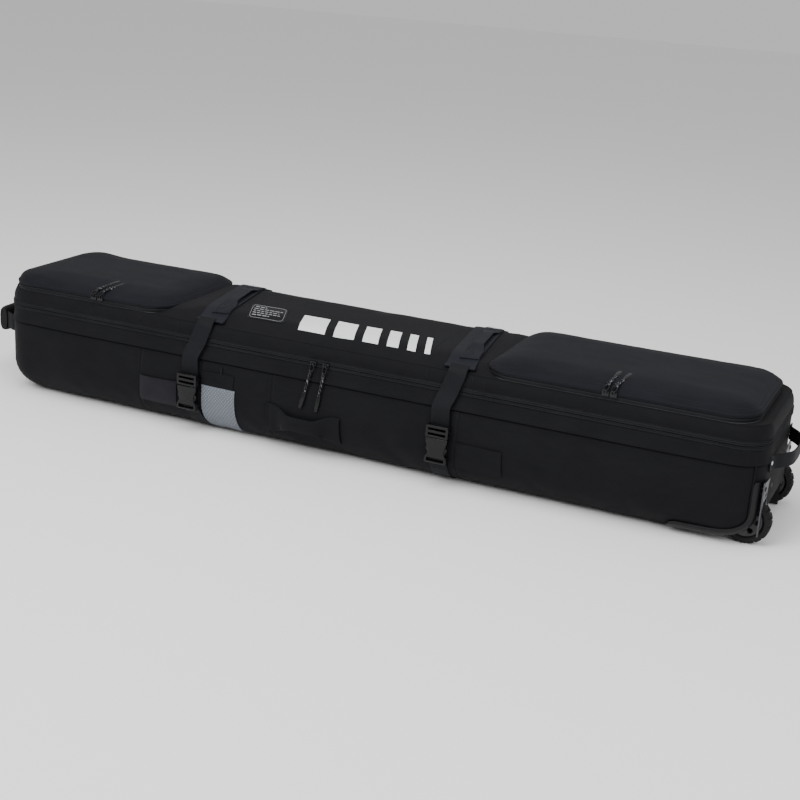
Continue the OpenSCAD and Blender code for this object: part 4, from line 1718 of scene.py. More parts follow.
@dataclass
class PaddedLid:
    """The lid: gusset, crowned top and what is sewn on it."""

    form: BagForm
    wall: float = 0.007
    rim_z: float = 0.2028
    grid: float = 0.0165
    shoulder: float = 0.0065
    middle: tuple = (-0.405, 0.278)
    surface: Surface | None = None

    def _edge_distance(self, x: float, y: float) -> float:
        """Distance inwards from the lid's outline.

        Args:
            x: the length along the bag.
            y: the place across it.

        Returns:
            The distance.
        """
        f = self.form
        dx = abs(x) - (f.half_l - f.corner_r)
        dy = abs(y) - (f.half_w - f.corner_r)
        outside = math.hypot(max(dx, 0), max(dy, 0)) + min(max(dx, dy), 0)
        return f.corner_r - outside

    def height(self, x: float, y: float) -> float:
        """Height of the lid's top.

        Args:
            x: the length along the bag.
            y: the place across it.

        Returns:
            The height.
        """
        f = self.form
        share = min(1.0, max(0.0, self._edge_distance(x, y)) / 0.062)
        across = 1 - (1 - share) ** 2.3
        along = ramp(x, self.middle[0] - 0.055, self.middle[0] - 0.004) * (
            1 - ramp(x, self.middle[1] + 0.004, self.middle[1] + 0.055)
        )
        return f.lid_edge_z + (f.lid_top_z - f.lid_edge_z) * across * along

    def skin(self) -> bpy.types.Object:
        """Gusset and top in one padded shell, with a seat for each pocket.

        Returns:
            The piece.
        """
        f = self.form
        bm = rounded_block(f.half_l, f.half_w, f.corner_r, self.rim_z, f.lid_edge_z)
        bmesh.ops.delete(bm, geom=[x for x in bm.faces if x.normal.z < -0.9], context="FACES")
        top = [x for x in bm.faces if x.normal.z > 0.9]
        bmesh.ops.inset_region(bm, faces=top, thickness=0.003)
        cut_across(bm, 0, spread(-f.half_l + 0.05, f.half_l - 0.05, self.grid))
        cut_across(bm, 1, spread(-f.half_w + 0.02, f.half_w - 0.02, 0.0155))
        cut_across(bm, 2, [0.210, 0.217, 0.224, 0.2292])
        for v in bm.verts:
            share = (min(v.co.z, f.lid_edge_z) - self.rim_z) / (f.lid_edge_z - self.rim_z)
            if v.co.z > f.lid_edge_z - TINY:
                v.co.z = self.height(v.co.x, v.co.y)
            else:
                puff = 0.0022 * math.sin(math.pi * share) * (1 - ramp(abs(v.co.x), 0.7, 0.8))
                v.co.y += math.copysign(puff, v.co.y) if abs(v.co.y) > 0.14 else 0.0
            near_edge = 1 - min(1.0, max(0.0, self._edge_distance(v.co.x, v.co.y)) / 0.03)
            tuck = self.shoulder * share**3 * near_edge
            v.co.x *= 1 - tuck / f.half_l
            v.co.y *= 1 - tuck / f.half_w
        piece = raw_piece("lid_padded_top", bm)
        inflate(piece, self._held, 2.0, 0.003, 0.004)
        soften(piece)
        for v in piece.data.vertices:
            if v.co.z > f.lid_edge_z + 0.002:
                v.co.z += 0.0009 * noise.noise(Vector((v.co.x * 9, v.co.y * 12, 3)))
        thicken(piece, self.wall, BODY_CLOTH, LINER, [self._seat("left"), self._seat("right")])
        dress(piece, BODY_CLOTH, "lid", ["lid_shell"], 50)
        self.surface = Surface(piece)
        return piece

    def _held(self, p: Vector) -> float:
        """How firmly a point of the lid is sewn down.

        Args:
            p: the point.

        Returns:
            A share, higher where it is firmer.
        """
        if p.z < self.form.lid_edge_z + 0.0005 or self._edge_distance(p.x, p.y) < 0.004:
            return 1.0
        middle = ramp(p.x, self.middle[0], self.middle[0] + 0.03)
        middle *= 1 - ramp(p.x, self.middle[1] - 0.03, self.middle[1])
        return 1.0 - 0.95 * middle

    def _seat(self, which: str) -> bmesh.types.BMesh:
        """The recess that a pocket stands in.

        Args:
            which: left or right.

        Returns:
            A solid to cut with.
        """
        low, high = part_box(f"{which}_pocket_band")
        half_l, half_w = (high.x - low.x) / 2 + MM, (high.y - low.y) / 2 + MM
        bm = rounded_block(half_l, half_w, 0.058, low.z - 0.0002, 0.29, 12)
        bmesh.ops.translate(bm, verts=bm.verts, vec=((low.x + high.x) / 2, 0, 0))
        return bm

    def pocket_floor(self, which: str) -> None:
        """The cloth that a pocket's contents lie on.

        Args:
            which: left or right.
        """
        low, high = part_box(f"{which}_pocket_band")
        half_l, half_w = (high.x - low.x) / 2 + 0.0005, (high.y - low.y) / 2 + 0.0005
        bm = rounded_block(half_l, half_w, 0.0575, 0.2288, 0.2322, 12)
        cut_across(bm, 0, spread(-0.25, 0.25, 0.03))
        bevel_edges(bm, sharp_edges(bm), 0.0005, 2)
        bmesh.ops.translate(bm, verts=bm.verts, vec=((low.x + high.x) / 2, 0, 0))
        finish_piece(f"{which}_pocket_floor", bm, LINER, "lid")

    def edge_piping(self) -> None:
        """Covered cord where the gusset meets the top."""
        f = self.form
        scale = Matrix.Diagonal((1 - self.shoulder / f.half_l, 1 - self.shoulder / f.half_w, 1, 1))
        path = [scale @ m.translation for m in f.perimeter(0.0, f.lid_edge_z - 0.0004, 0.012)]
        cord = tube([closed_path(path)], 0.0013, closed=True)
        finish_piece("lid_edge_piping", cord, BODY_CLOTH, "lid")

    def seams(self) -> None:
        """Vertical sewn lines on the gusset and along the lid's middle panel."""
        rows = []
        y = -self.form.half_w - 0.0024
        for x in (-0.470, -0.378, -0.286, 0.182, 0.276, 0.30):
            rows.append([Vector((x, y, 0.2045 + 0.0025 * i)) for i in range(11)])
        for x, turn in ((-0.400, 8), (-0.290, 8), (0.160, 6), (0.268, 6)):
            line = []
            for i in range(40):
                yy = -0.140 + 0.28 * i / 39
                xx = x - yy * math.tan(math.radians(turn)) * 0.4
                line.append(Vector((xx, yy, self.top_z(xx, yy) + 0.0002)))
            rows.append(line)
        finish_piece("lid_stitching", stitches(rows), THREAD, "lid")

    def top_z(self, x: float, y: float) -> float:
        """Z of the lid's top."""
        return self.surface.top(x, y, self.height(x, y))

    def _laid(self, bm: bmesh.types.BMesh, gap: float) -> None:
        """Drops a flat mesh drawn at height 0 onto the lid."""
        for v in bm.verts:
            v.co.z += self.top_z(v.co.x, v.co.y) + gap

    def label(self) -> None:
        """A woven label with a raised border and plain lines."""
        centre, half, gap = Vector((-0.2224, -0.0641, 0)), (0.0425, 0.0445), 0.0004
        slant = Matrix(((1, -0.38, 0, 0), (0, 1, 0, 0), (0, 0, 1, 0), (0, 0, 0, 1)))
        turn = Matrix.Translation(centre) @ Matrix.Rotation(math.radians(2), 4, "Z") @ slant

        def plate(low: tuple, high: tuple, z0: float, z1: float, r: float) -> bmesh.types.BMesh:
            """A thin rounded plate between two corners in the label's own frame.

            Args:
                low: its lowest X and Y.
                high: its highest X and Y.
                z0: height of its underside.
                z1: height of its top.
                r: the radius of its corners.

            Returns:
                The mesh.
            """
            half_x, half_y = (high[0] - low[0]) / 2, (high[1] - low[1]) / 2
            part = rounded_block(half_x, half_y, r, z0, z1, 4)
            middle = Vector((low[0] + half_x, low[1] + half_y, 0))
            cut_across(part, 0, spread(-half_x, half_x, 0.008))
            bmesh.ops.translate(part, verts=part.verts, vec=middle)
            bmesh.ops.transform(part, matrix=turn, verts=part.verts)
            return part

        base = plate((-half[0], -half[1]), half, 0, 0.0009, 0.006)
        self._laid(base, gap)
        finish_piece("top_label_cloth", base, LABEL_CLOTH, "lid", ["top_label"])
        border = []
        for i in range(64):
            angle = math.tau * i / 64
            u, w = (math.copysign(abs(t) ** 0.22, t) for t in (math.cos(angle), math.sin(angle)))
            p = turn @ Vector((u * (half[0] - 0.004), w * (half[1] - 0.004), 0))
            border.append(Vector((p.x, p.y, self.top_z(p.x, p.y) + gap + 0.0009)))
        finish_piece("top_label_border", tube([border], 0.0005, closed=True), LABEL_INK, "lid")
        lines = []
        rows = ((-0.032, -0.006), (-0.034, 0.034), (-0.034, 0.026), (-0.034, 0.031), (-0.034, 0.006))
        for row, (start, stop) in enumerate(rows):
            y = 0.028 - 0.014 * row
            x = start
            while x < stop:
                wide = 0.009 if row == 0 else 0.006 + 0.002 * ((row + round(x * 500)) % 3)
                end = min(stop, x + wide)
                lines.append(plate((x, y - 0.0024), (end, y + 0.0024), 0.0009, 0.0012, 0.0006))
                x += wide + 0.0022
        ink = merged(*lines)
        self._laid(ink, gap)
        finish_piece("top_label_lines", ink, LABEL_INK, "lid")

    def print_mark(self) -> None:
        """A plain printed mark: a row of slanted bars."""
        bars = []
        x = -0.137
        for wide in (0.060, 0.046, 0.034, 0.025, 0.018, 0.012):
            bar = net(6, 8)
            for v in bar.verts:
                y = -0.120 + 0.086 * (v.co.y + 0.5)
                v.co = Vector((x + wide * (v.co.x + 0.5) - 0.35 * (y + 0.077), y, 0))
            bmesh.ops.solidify(bar, geom=bar.faces[:], thickness=-0.0003)
            bars.append(bar)
            x += wide + 0.019
        bm = merged(*bars)
        self._laid(bm, 0.0005)
        finish_piece("top_print", bm, PRINT_INK, "lid")

    def build(self) -> None:
        """Makes the whole lid."""
        self.skin()
        for which in ("left", "right"):
            self.pocket_floor(which)
        self.edge_piping()
        self.label()
        self.print_mark()
        self.seams()


@dataclass
class TopPocket:
    """A top pocket: zip band below, padded flap above."""

    which: str
    radius: float = 0.058
    edge_z: float = 0.247
    top_z: float = 0.2635
    stitch_in: float = 0.009
    dome_reach: float = 0.055
    body: str = field(init=False)
    low_z: float = field(init=False)
    span: tuple[float, float, float] = field(init=False)
    surface: Surface | None = field(init=False, default=None)

    def __post_init__(self) -> None:
        """Reads the flap's place, half length, half width and middle X from the frame."""
        self.body = f"{self.which}_flap"
        low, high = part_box(f"{self.which}_pocket_flap")
        self.low_z = low.z
        self.span = (high.x - low.x) / 2, (high.y - low.y) / 2, (high.x + low.x) / 2

    def _edge_distance(self, x: float, y: float) -> float:
        """Distance inwards from the flap's outline."""
        half_l, half_w, _ = self.span
        dx, dy = abs(x) - (half_l - self.radius), abs(y) - (half_w - self.radius)
        return self.radius - math.hypot(max(dx, 0), max(dy, 0)) - min(max(dx, dy), 0)

    def _held(self, p: Vector) -> float:
        """How firmly a point of the flap is sewn down."""
        if p.z < self.edge_z + 0.0008:
            return 1.0
        return 0.85 - 0.8 * ramp(self._edge_distance(p.x - self.span[2], p.y), 0.010, 0.035)

    def flap(self) -> bpy.types.Object:
        """The crowned flap with its stitched edge.

        Returns:
            The piece.
        """
        half_l, half_w, middle = self.span
        z0 = self.low_z
        bm = rounded_block(half_l, half_w, self.radius, z0, self.edge_z, 12)
        bmesh.ops.delete(bm, geom=[x for x in bm.faces if x.normal.z < -0.9], context="FACES")
        for thickness in (0.0025, self.stitch_in - 0.0045, 0.0015, 0.0015, 0.008, 0.012):
            top = [x for x in bm.faces if x.normal.z > 0.9 and len(x.verts) > 8]
            bmesh.ops.inset_region(bm, faces=top, thickness=thickness)
        cut_across(bm, 0, spread(-half_l + 0.045, half_l - 0.045, 0.015))
        cut_across(bm, 1, spread(-half_w + 0.045, half_w - 0.045, 0.015))
        cut_across(bm, 2, [z0 + 0.002, z0 + 0.0045])
        rise = self.top_z - self.edge_z
        for v in bm.verts:
            d = self._edge_distance(v.co.x, v.co.y)
            if v.co.z > self.edge_z - TINY:
                end_d = v.co.x + half_l if self.which == "left" else 1.0
                reach = self.dome_reach - (self.dome_reach - 0.020) * (1 - ramp(end_d, 0.02, 0.13))
                v.co.z += rise * (1 - (1 - min(1.0, max(0.0, d) / reach)) ** 3.0) - 0.0004
                v.co.z -= 0.0013 * (1 - ramp(abs(d - self.stitch_in), 0.0002, 0.0016))
            elif z0 + 0.001 < v.co.z:
                out = Vector((v.co.x, v.co.y, 0)).normalized()
                v.co += out * 0.0008
            v.co.x += middle
        piece = raw_piece(f"{self.which}_pocket_padded_flap", bm)
        inflate(piece, self._held, 1.6, 0.003, 0.004)
        soften(piece)
        for v in piece.data.vertices:
            free = ramp(self._edge_distance(v.co.x - middle, v.co.y), 0.014, 0.05)
            if v.co.z > self.edge_z:
                dent = noise.noise(Vector((v.co.x * 8, v.co.y * 10, 7)))
                crease = noise.noise(Vector((v.co.x * 22 + v.co.y * 14, v.co.y * 26, 1)))
                v.co.z += free * (0.0013 * dent + 0.0006 * crease)
        thicken(piece, 0.003, TOP_CLOTH, LINER)
        dress(piece, TOP_CLOTH, self.body, [f"{self.which}_pocket_flap"], 50)
        self.surface = Surface(piece)
        return piece

    def _ring(self, out: float, z: float, pitch: float) -> list[Matrix]:
        """Places round the pocket at a height, with local X outwards and local Y up.

        Args:
            out: how far outside the outline they stand.
            z: the height.
            pitch: about how far apart they are.

        Returns:
            The places.
        """
        half_l, half_w, middle = self.span
        form = BagForm(half_l=half_l, half_w=half_w, zip_z=z, corner_r=self.radius)
        shift = Matrix.Translation((middle, 0, 0))
        return [shift @ m for m in form.perimeter(out, z, pitch, 0.0)]

    def band(self, name: str, body: str, z0: float, z1: float, up: int, replaced: Sequence[str]) -> None:
        """A zip tape with its coil round the pocket.

        Args:
            name: the piece's name.
            body: the body that it rides on.
            z0: height of its edge away from the teeth.
            z1: height of its teeth's edge.
            up: 1 where the teeth are on top, -1 where they are below.
            replaced: the nodes that it stands for.
        """
        h = abs(z1 - z0)
        outline = [(-0.0012, 0.0), (0.0007, 0.0), (0.0013, 0.4 * h), (0.0021, 0.62 * h)]
        outline += [(0.0019, 0.86 * h), (0.0002, h), (-0.0012, h)]
        bm = coil_tape(outline, up, self._ring(-0.0005, z0, 0.0026), (3, 4), 0.0008)
        flatten_rear(bm, self.span[1] - 0.0006)
        finish_piece(name, bm, TAPE, body, replaced, 60)

    def piping(self) -> None:
        """Covered cord along the flap's edge and its row of stitches."""
        path = [m.translation.copy() for m in self._ring(-0.0006, self.edge_z - 0.0024, 0.009)]
        cord = tube([closed_path(path)], 0.0029, closed=True)
        finish_piece(f"{self.which}_flap_piping", cord, TOP_CLOTH, self.body)
        row = []
        for m in self._ring(-self.stitch_in - 0.0026, 0, 0.006):
            p = m.translation
            row.append(Vector((p.x, p.y, self.surface.top(p.x, p.y, self.edge_z) + 0.0001)))
        finish_piece(f"{self.which}_flap_stitching", stitches([row]), THREAD, self.body)

    def build(self) -> None:
        """Makes the whole pocket."""
        self.flap()
        band = f"{self.which}_pocket_band"
        low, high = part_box(band)
        self.band(f"{self.which}_pocket_lower_zip", "lid", low.z, high.z, 1, [band])
        self.band(f"{self.which}_pocket_upper_zip", self.body, self.low_z + 0.0062, self.low_z, -1, [])
        self.piping()


# ---------------------------------------------------------------- straps


@dataclass
class CompressionStrap:
    """A strap over the bag: top band, drop strap, buckle and lower strap."""

    which: str
    hem_x: float
    buckle_x: float
    foot_x: float
    band_x: float
    turn: float
    tub: PaddedTub
    lid: PaddedLid
    width: float = 0.038
    band_w: float = 0.060
    plane_y: float = -0.1778
    socket_lip: float = 0.0052
    hem_lift: float = 0.0034
    thickness: float = 0.0022

    def _strip(self, points: Sequence, width: float, pitch: float = 0.006) -> bmesh.types.BMesh:
        """Webbing across X along points."""
        path = rounded_path(points, pitch)
        return sweep(strip_outline(width, self.thickness), strip_stations(path, Vector((1, 0, 0))))

    def lower(self) -> None:
        """Webbing from the base to the socket, with its sewn box."""
        x, y = self.buckle_x, self.plane_y
        points = [(x, y, 0.070), (x, y, 0.057)]
        for z in (0.044, 0.033, 0.022, 0.013, 0.007):
            share = (0.057 - z) / 0.05
            px = x + (self.foot_x - x) * share
            points.append((px, min(self.tub.front_y(px, z), -0.12) - 0.0028, z))
        points.append((self.foot_x, -0.118, 0.0022))
        name = f"{self.which}_lower_webbing"
        finish_piece(name, self._strip(points, self.width), STRAP_WEB, "tub", [f"{self.which}_lower_strap"])
        rows = []
        box = [(-0.014, 0.013), (0.014, 0.013), (0.014, 0.036), (-0.014, 0.036)]
        box += [(-0.014, 0.013), (0.014, 0.036)]
        for a, b in zip(box, box[1:]):
            rows.append(self.tub.sewn_line((x + a[0], a[1]), (x + b[0], b[1]), 8, 0.0043))
        finish_piece(f"{self.which}_lower_stitching", stitches(rows, 0.0034), THREAD, "tub")

    def drop(self) -> None:
        """Webbing from the lid's hem down through the buckle's tongue."""
        x, hx, y = self.buckle_x, self.hem_x, self.plane_y
        front = -self.tub.form.half_w
        points = [(hx, front + 0.013, 0.2435), (hx, front + 0.003, 0.2385), (hx, front - 0.0035, 0.231)]
        points.append((hx + 0.25 * (x - hx), front - 0.0055, 0.214))
        points.append((hx + 0.55 * (x - hx), front - 0.0085, 0.193))
        points += [(x, y, 0.164), (x, y, 0.140), (x, y, 0.107)]
        strip = self._strip(points, self.width)
        finish_piece(f"{self.which}_drop_webbing", strip, STRAP_WEB, "lid", [f"{self.which}_drop_strap"])

    def _band_point(self, share: float, side: float, lift: float) -> Vector:
        """A point on the top band; share runs from front to rear, side across it."""
        y = -0.1475 + 0.2955 * share
        x = self.band_x - y * math.tan(math.radians(self.turn)) + side
        return Vector((x, y, self.lid.top_z(x, y) + lift))

    def top(self) -> None:
        """The wide sewn band, its hem and the grab webbing on it."""
        bm = net(10, 44)
        for v in bm.verts:
            lift = 0.0014 + 0.0004 * noise.noise(Vector((v.co.x * 5, v.co.y * 18, self.band_x)))
            lift += self.hem_lift * (1 - ramp(v.co.y + 0.5, 0.0, 0.07))
            v.co = self._band_point(v.co.y + 0.5, self.band_w * v.co.x, lift)
        bmesh.ops.solidify(bm, geom=bm.faces[:], thickness=-0.0014)
        finish_piece(f"{self.which}_band_webbing", bm, BAND_WEB, "lid", [f"{self.which}_top_band"])
        hems = []
        for end in (0.0, 1.0):
            lift = 0.0018 + (self.hem_lift if end == 0.0 else 0.0)
            line = [self._band_point(end, side, lift) for side in (-0.031, -0.015, 0.0, 0.015, 0.031)]
            hems.append(sweep(strip_outline(0.012, 0.0042), strip_stations(line, Vector((0, 1, 0)))))
        finish_piece(f"{self.which}_band_hem", merged(*hems), BAND_WEB, "lid")
        self._grab()
        self._band_stitching()

    def _grab(self) -> None:
        """The narrow grab webbing, folded in its middle."""
        points = []
        for i in range(25):
            share = 0.10 + 0.80 * i / 24
            arch = ramp(share, 0.24, 0.36) * (1 - ramp(share, 0.64, 0.76))
            points.append((self._band_point(share, 0.010, 0.0038 + 0.0065 * arch), arch))
        path = [p for p, _ in points]
        bm = sweep(strip_outline(0.038, self.thickness), strip_stations(path, Vector((1, 0, 0))))
        bm.verts.ensure_lookup_table()
        outline = len(strip_outline(0.038, self.thickness))
        for k, (centre, arch) in enumerate(points):
            for j in range(outline):
                v = bm.verts[k * outline + j]
                side = v.co.x - centre.x
                v.co.x = centre.x + side * (1 - 0.42 * arch)
                v.co.z += 0.0042 * arch * (abs(side) / 0.019) ** 2 * -1 + 0.003 * arch
        finish_piece(f"{self.which}_grab_webbing", bm, BAND_WEB, "lid")

    def _band_stitching(self) -> None:
        """Box and cross stitching at each root of the grab webbing, and a row along each edge of the band."""
        rows = []
        for sign in (-1, 1):
            corners = [(-0.014, 0.12), (0.014, 0.12), (0.014, 0.40), (-0.014, 0.40)]
            corners += [(-0.014, 0.12), (0.014, 0.40)]
            corners += [(0.014, 0.12), (-0.014, 0.40)]
            for a, b in zip(corners, corners[1:]):
                line = []
                for side, along in between(a, b, 8):
                    share = 0.5 + sign * (0.5 - 0.26 * along / 0.40 - 0.02)
                    line.append(self._band_point(share, 0.010 + side, 0.0054))
                rows.append(line)
        for side in (-0.028, 0.028):
            rows.append([self._band_point(0.02 + 0.96 * i / 50, side, 0.0018) for i in range(51)])
        finish_piece(f"{self.which}_band_stitching", stitches(rows, 0.0036), THREAD, "lid")

    def _socket(self, node: str) -> None:
        """The socket: scooped sides, a mouth above and a webbing bar below.

        Args:
            node: the frame node that it stands for.
        """
        low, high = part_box(node)
        high.z += self.socket_lip
        x, h = self.buckle_x, high.z - low.z
        half = (high.x - low.x) / 2
        side = [(1.0, 0.0), (1.0, 0.16), (0.97, 0.23), (0.84, 0.31), (0.76, 0.40), (0.75, 0.52), (0.80, 0.64)]
        side += [(0.90, 0.75), (0.97, 0.86), (0.98, 1.0)]
        corners = side + [(-s, t) for s, t in reversed(side)]
        points = [(x + half * s, high.y, low.z + h * t) for s, t in corners]
        bm = prism(points, (0, low.y - high.y, 0))
        bmesh.ops.recalc_face_normals(bm, faces=bm.faces)
        rim = [e for e in sharp_edges(bm, 60) if abs(e.verts[0].co.y - e.verts[1].co.y) < TINY]
        bevel_edges(bm, rim, 0.0024, 4)
        piece = finish_piece(f"{self.which}_socket", bm, GLOSS_BLACK, "tub", [node], 32)
        y, z = (low.y + high.y) / 2, low.z
        mouth = block((x - 0.0225, y - 0.0031, z + 0.014), (x + 0.0225, y + 0.0031, high.z + 0.01))
        slot = block((x - 0.0195, high.y - 0.0035, z - 0.01), (x + 0.0195, high.y + 0.01, z + 0.016))
        recess = block((x - 0.0180, low.y - 0.01, z + 0.0036), (x + 0.0180, low.y + 0.0120, z + 0.0108))
        cut_away(piece, [mouth, slot, recess])
        piece.data.set_sharp_from_angle(angle=math.radians(32))

    def buckle(self) -> None:
        """The side-release buckle: socket, ladder tongue and its two prongs."""
        w = self.which
        socket, tongue = f"{w}_buckle_socket", f"{w}_buckle_tongue"
        self._socket(socket)
        remade(f"{w}_ladder_tongue", tongue, GLOSS_BLACK, f"{w}_tongue", 0.0013, 3)
        for end in ("a", "b"):
            node = f"{w}_prong_{end}"
            remade(f"{w}_spring_arm_{end}", node, GLOSS_BLACK, node, 0.0008, 3)

    def build(self) -> None:
        """Makes the whole strap."""
        self.lower()
        self.drop()
        self.top()
        self.buckle()


# ---------------------------------------------------------------- handles


@dataclass
class Handles:
    """The carrying handles on the front, the nose and the wheel end."""

    form: BagForm
    tub: PaddedTub
    side_x: tuple = (-0.157, 0.011)
    side_z: float = 0.068

    def _bowed(self, u: float, w: float, gap: float) -> Vector:
        """A point of the waisted side handle.

        Args:
            u: share along it, from 0 to 1.
            w: place across it, from -1 to 1.
            gap: how far it stands off the wall.

        Returns:
            The point.
        """
        x = self.side_x[0] + (self.side_x[1] - self.side_x[0]) * u
        waist = 1 - ramp(abs(u - 0.5), 0.12, 0.42)
        z = self.side_z + 0.0008 * (1 - waist) + (0.0275 - 0.0145 * waist) * w
        bow = 0.0120 * ramp(u, 0.13, 0.36) * (1 - ramp(u, 0.64, 0.87))
        wall = min(self.tub.front_y(x, z), self.tub.front_y(x, self.side_z) if waist > 0.5 else 0)
        return Vector((x, wall - gap - bow + 0.0042 * waist * w * w, z))

    def side(self) -> None:
        """The waisted handle on the front, bowed out between its sewn ends."""
        bm = net(48, 12)
        for v in bm.verts:
            v.co = self._bowed(v.co.x + 0.5, v.co.y * 2, 0.0032)
        bmesh.ops.reverse_faces(bm, faces=bm.faces)
        bmesh.ops.solidify(bm, geom=bm.faces[:], thickness=0.0026)
        soften(finish_piece("side_grab_handle", bm, BODY_CLOTH, "tub", ["side_handle"], 60))
        edges = [[self._bowed(i / 48, sign, 0.0028) for i in range(49)] for sign in (-1, 1)]
        finish_piece("side_handle_binding", tube(edges, 0.0016), STRAP_WEB, "tub")
        x0, x1 = self.side_x
        places = (x0 + 0.004, x0 + 0.020, x1 - 0.020, x1 - 0.004)
        rows = [self.tub.sewn_line((x, 0.043), (x, 0.093), 20, 0.0036) for x in places]
        finish_piece("side_handle_stitching", stitches(rows, 0.0036), THREAD, "tub")

    def _loop(self, points: Sequence, height: float, thickness: float) -> bmesh.types.BMesh:
        """Upright webbing along points in the XY plane."""
        path = rounded_path(points, 0.005)
        return sweep(strip_outline(height, thickness), strip_stations(path, Vector((0, 0, 1))))

    def nose(self) -> None:
        """Webbing loop and thick rubber grip at the nose."""
        low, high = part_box("nose_handle")
        z = (low.z + high.z) / 2
        face, leg = -self.form.half_l, 0.098
        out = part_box("nose_grip")
        grip_x = (out[0].x + out[1].x) / 2
        roots = []
        for s in (-1, 1):
            points = [(face - 0.0016, s * (leg + 0.016), z), (face - 0.0030, s * (leg + 0.004), z)]
            points += [(face - 0.012, s * (leg - 0.002), z), (face - 0.028, s * (leg - 0.003), z)]
            points += [(face - 0.046, s * (leg - 0.012), z), (grip_x + 0.001, s * (leg - 0.026), z)]
            roots.append(self._loop([*points, (grip_x, s * 0.060, z)], 0.038, 0.0026))
        bm = merged(*roots)
        webbing = finish_piece("nose_handle_webbing", bm, STRAP_WEB, None, ["nose_handle", "handle_tabs"])
        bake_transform(webbing)
        self._grip(grip_x, z)
        rows = []
        for s in (-1, 1):
            for y in (leg + 0.006, leg + 0.014):
                rows.append([Vector((face - 0.0032, s * y, z - 0.016 + 0.0032 * i)) for i in range(11)])
        finish_piece("nose_handle_stitching", stitches(rows, 0.0034), THREAD, "tub")

    def _grip(self, x: float, z: float) -> None:
        """The ribbed rubber grip.

        Args:
            x: X of its middle.
            z: Z of its middle.
        """
        low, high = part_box("nose_grip")
        half_d, half_h = (high.x - low.x) / 2, (high.z - low.z) / 2
        bm = bmesh.new()
        bmesh.ops.create_circle(bm, cap_ends=False, segments=36, radius=1.0)
        for v in bm.verts:
            u, w = v.co.x, v.co.y
            deep, tall = math.copysign(abs(u) ** 0.8, u), math.copysign(abs(w) ** 0.72, w)
            v.co = Vector((x + half_d * deep, low.y, z + half_h * tall))
        edges = bm.edges[:]
        steps = 64
        for _ in range(steps):
            corners, edges = next_row(bm, edges)
            bmesh.ops.translate(bm, verts=corners, vec=(0, (high.y - low.y) / steps, 0))
        bmesh.ops.holes_fill(bm, edges=bm.edges[:], sides=0)
        middle, reach = (low.y + high.y) / 2, (high.y - low.y) / 2
        for v in bm.verts:
            u = (v.co.y - middle) / reach
            swell = 0.86 + 0.14 * math.sqrt(max(0.0, 1 - abs(u) ** 5))
            rib = 1 - 0.035 * (0.5 + 0.5 * math.cos(u * 60)) * (1 - ramp(abs(u), 0.72, 0.86))
            v.co.x = x + (v.co.x - x) * swell * rib
            v.co.z = z + (v.co.z - z) * swell * rib
        finish_piece("nose_rubber_grip", bm, RUBBER, "nose_handle", ["nose_grip"], 60)

    def wheel_end(self) -> None:
        """Webbing handle at the wheel end, with a rivet at each root."""
        low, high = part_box("wheel_end_handle")
        z = (low.z + high.z) / 2
        face, leg = self.form.half_l, 0.106
        reach = high.x - face - 0.001
        points = []
        for s in (-1, 1):
            half = [(face + 0.0017, s * (leg + 0.006), z), (face + 0.0019, s * (leg - 0.008), z)]
            half += [(face + 0.007, s * (leg - 0.020), z), (face + 0.55 * reach, s * (leg - 0.034), z)]
            half += [(face + 0.90 * reach, s * (leg - 0.056), z)]
            points.append(half)
        path = [*points[0], (face + reach, -0.02, z), (face + reach, 0.02, z), *reversed(points[1])]
        bm = self._loop(path, 0.028, 0.0026)
        webbing = finish_piece("wheel_end_webbing", bm, STRAP_WEB, None, ["wheel_end_handle"])
        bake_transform(webbing)
        finish_piece("handle_rivet_heads", self._rivets(z), STEEL, "tub", ["handle_rivets"], 50)

    def _rivets(self, z: float) -> bmesh.types.BMesh:
        """Domed rivets through the webbing's roots.

        Args:
            z: the height of their middle.

        Returns:
            The mesh.
        """
        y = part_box("handle_rivets")[1].y - 0.0044
        parts = []
        for s in (-1, 1):
            bm = bmesh.new()
            bmesh.ops.create_uvsphere(bm, u_segments=24, v_segments=12, radius=0.0046)
            bmesh.ops.bisect_plane(
                bm, geom=everything(bm), plane_co=(0, 0, 0), plane_no=(0, 0, 1), clear_inner=True
            )
            bmesh.ops.holes_fill(bm, edges=bm.edges[:], sides=0)
            place = Matrix.Translation((self.form.half_l + 0.0030, s * y, z))
            place @= Matrix.Rotation(math.pi / 2, 4, "Y")
            bmesh.ops.transform(bm, matrix=place @ Matrix.Diagonal((1, 1, 0.42, 1)), verts=bm.verts)
            parts.append(bm)
        return merged(*parts)

    def build(self) -> None:
        """Makes all three handles."""
        self.side()
        self.nose()
        self.wheel_end()


# ---------------------------------------------------------------- wheels


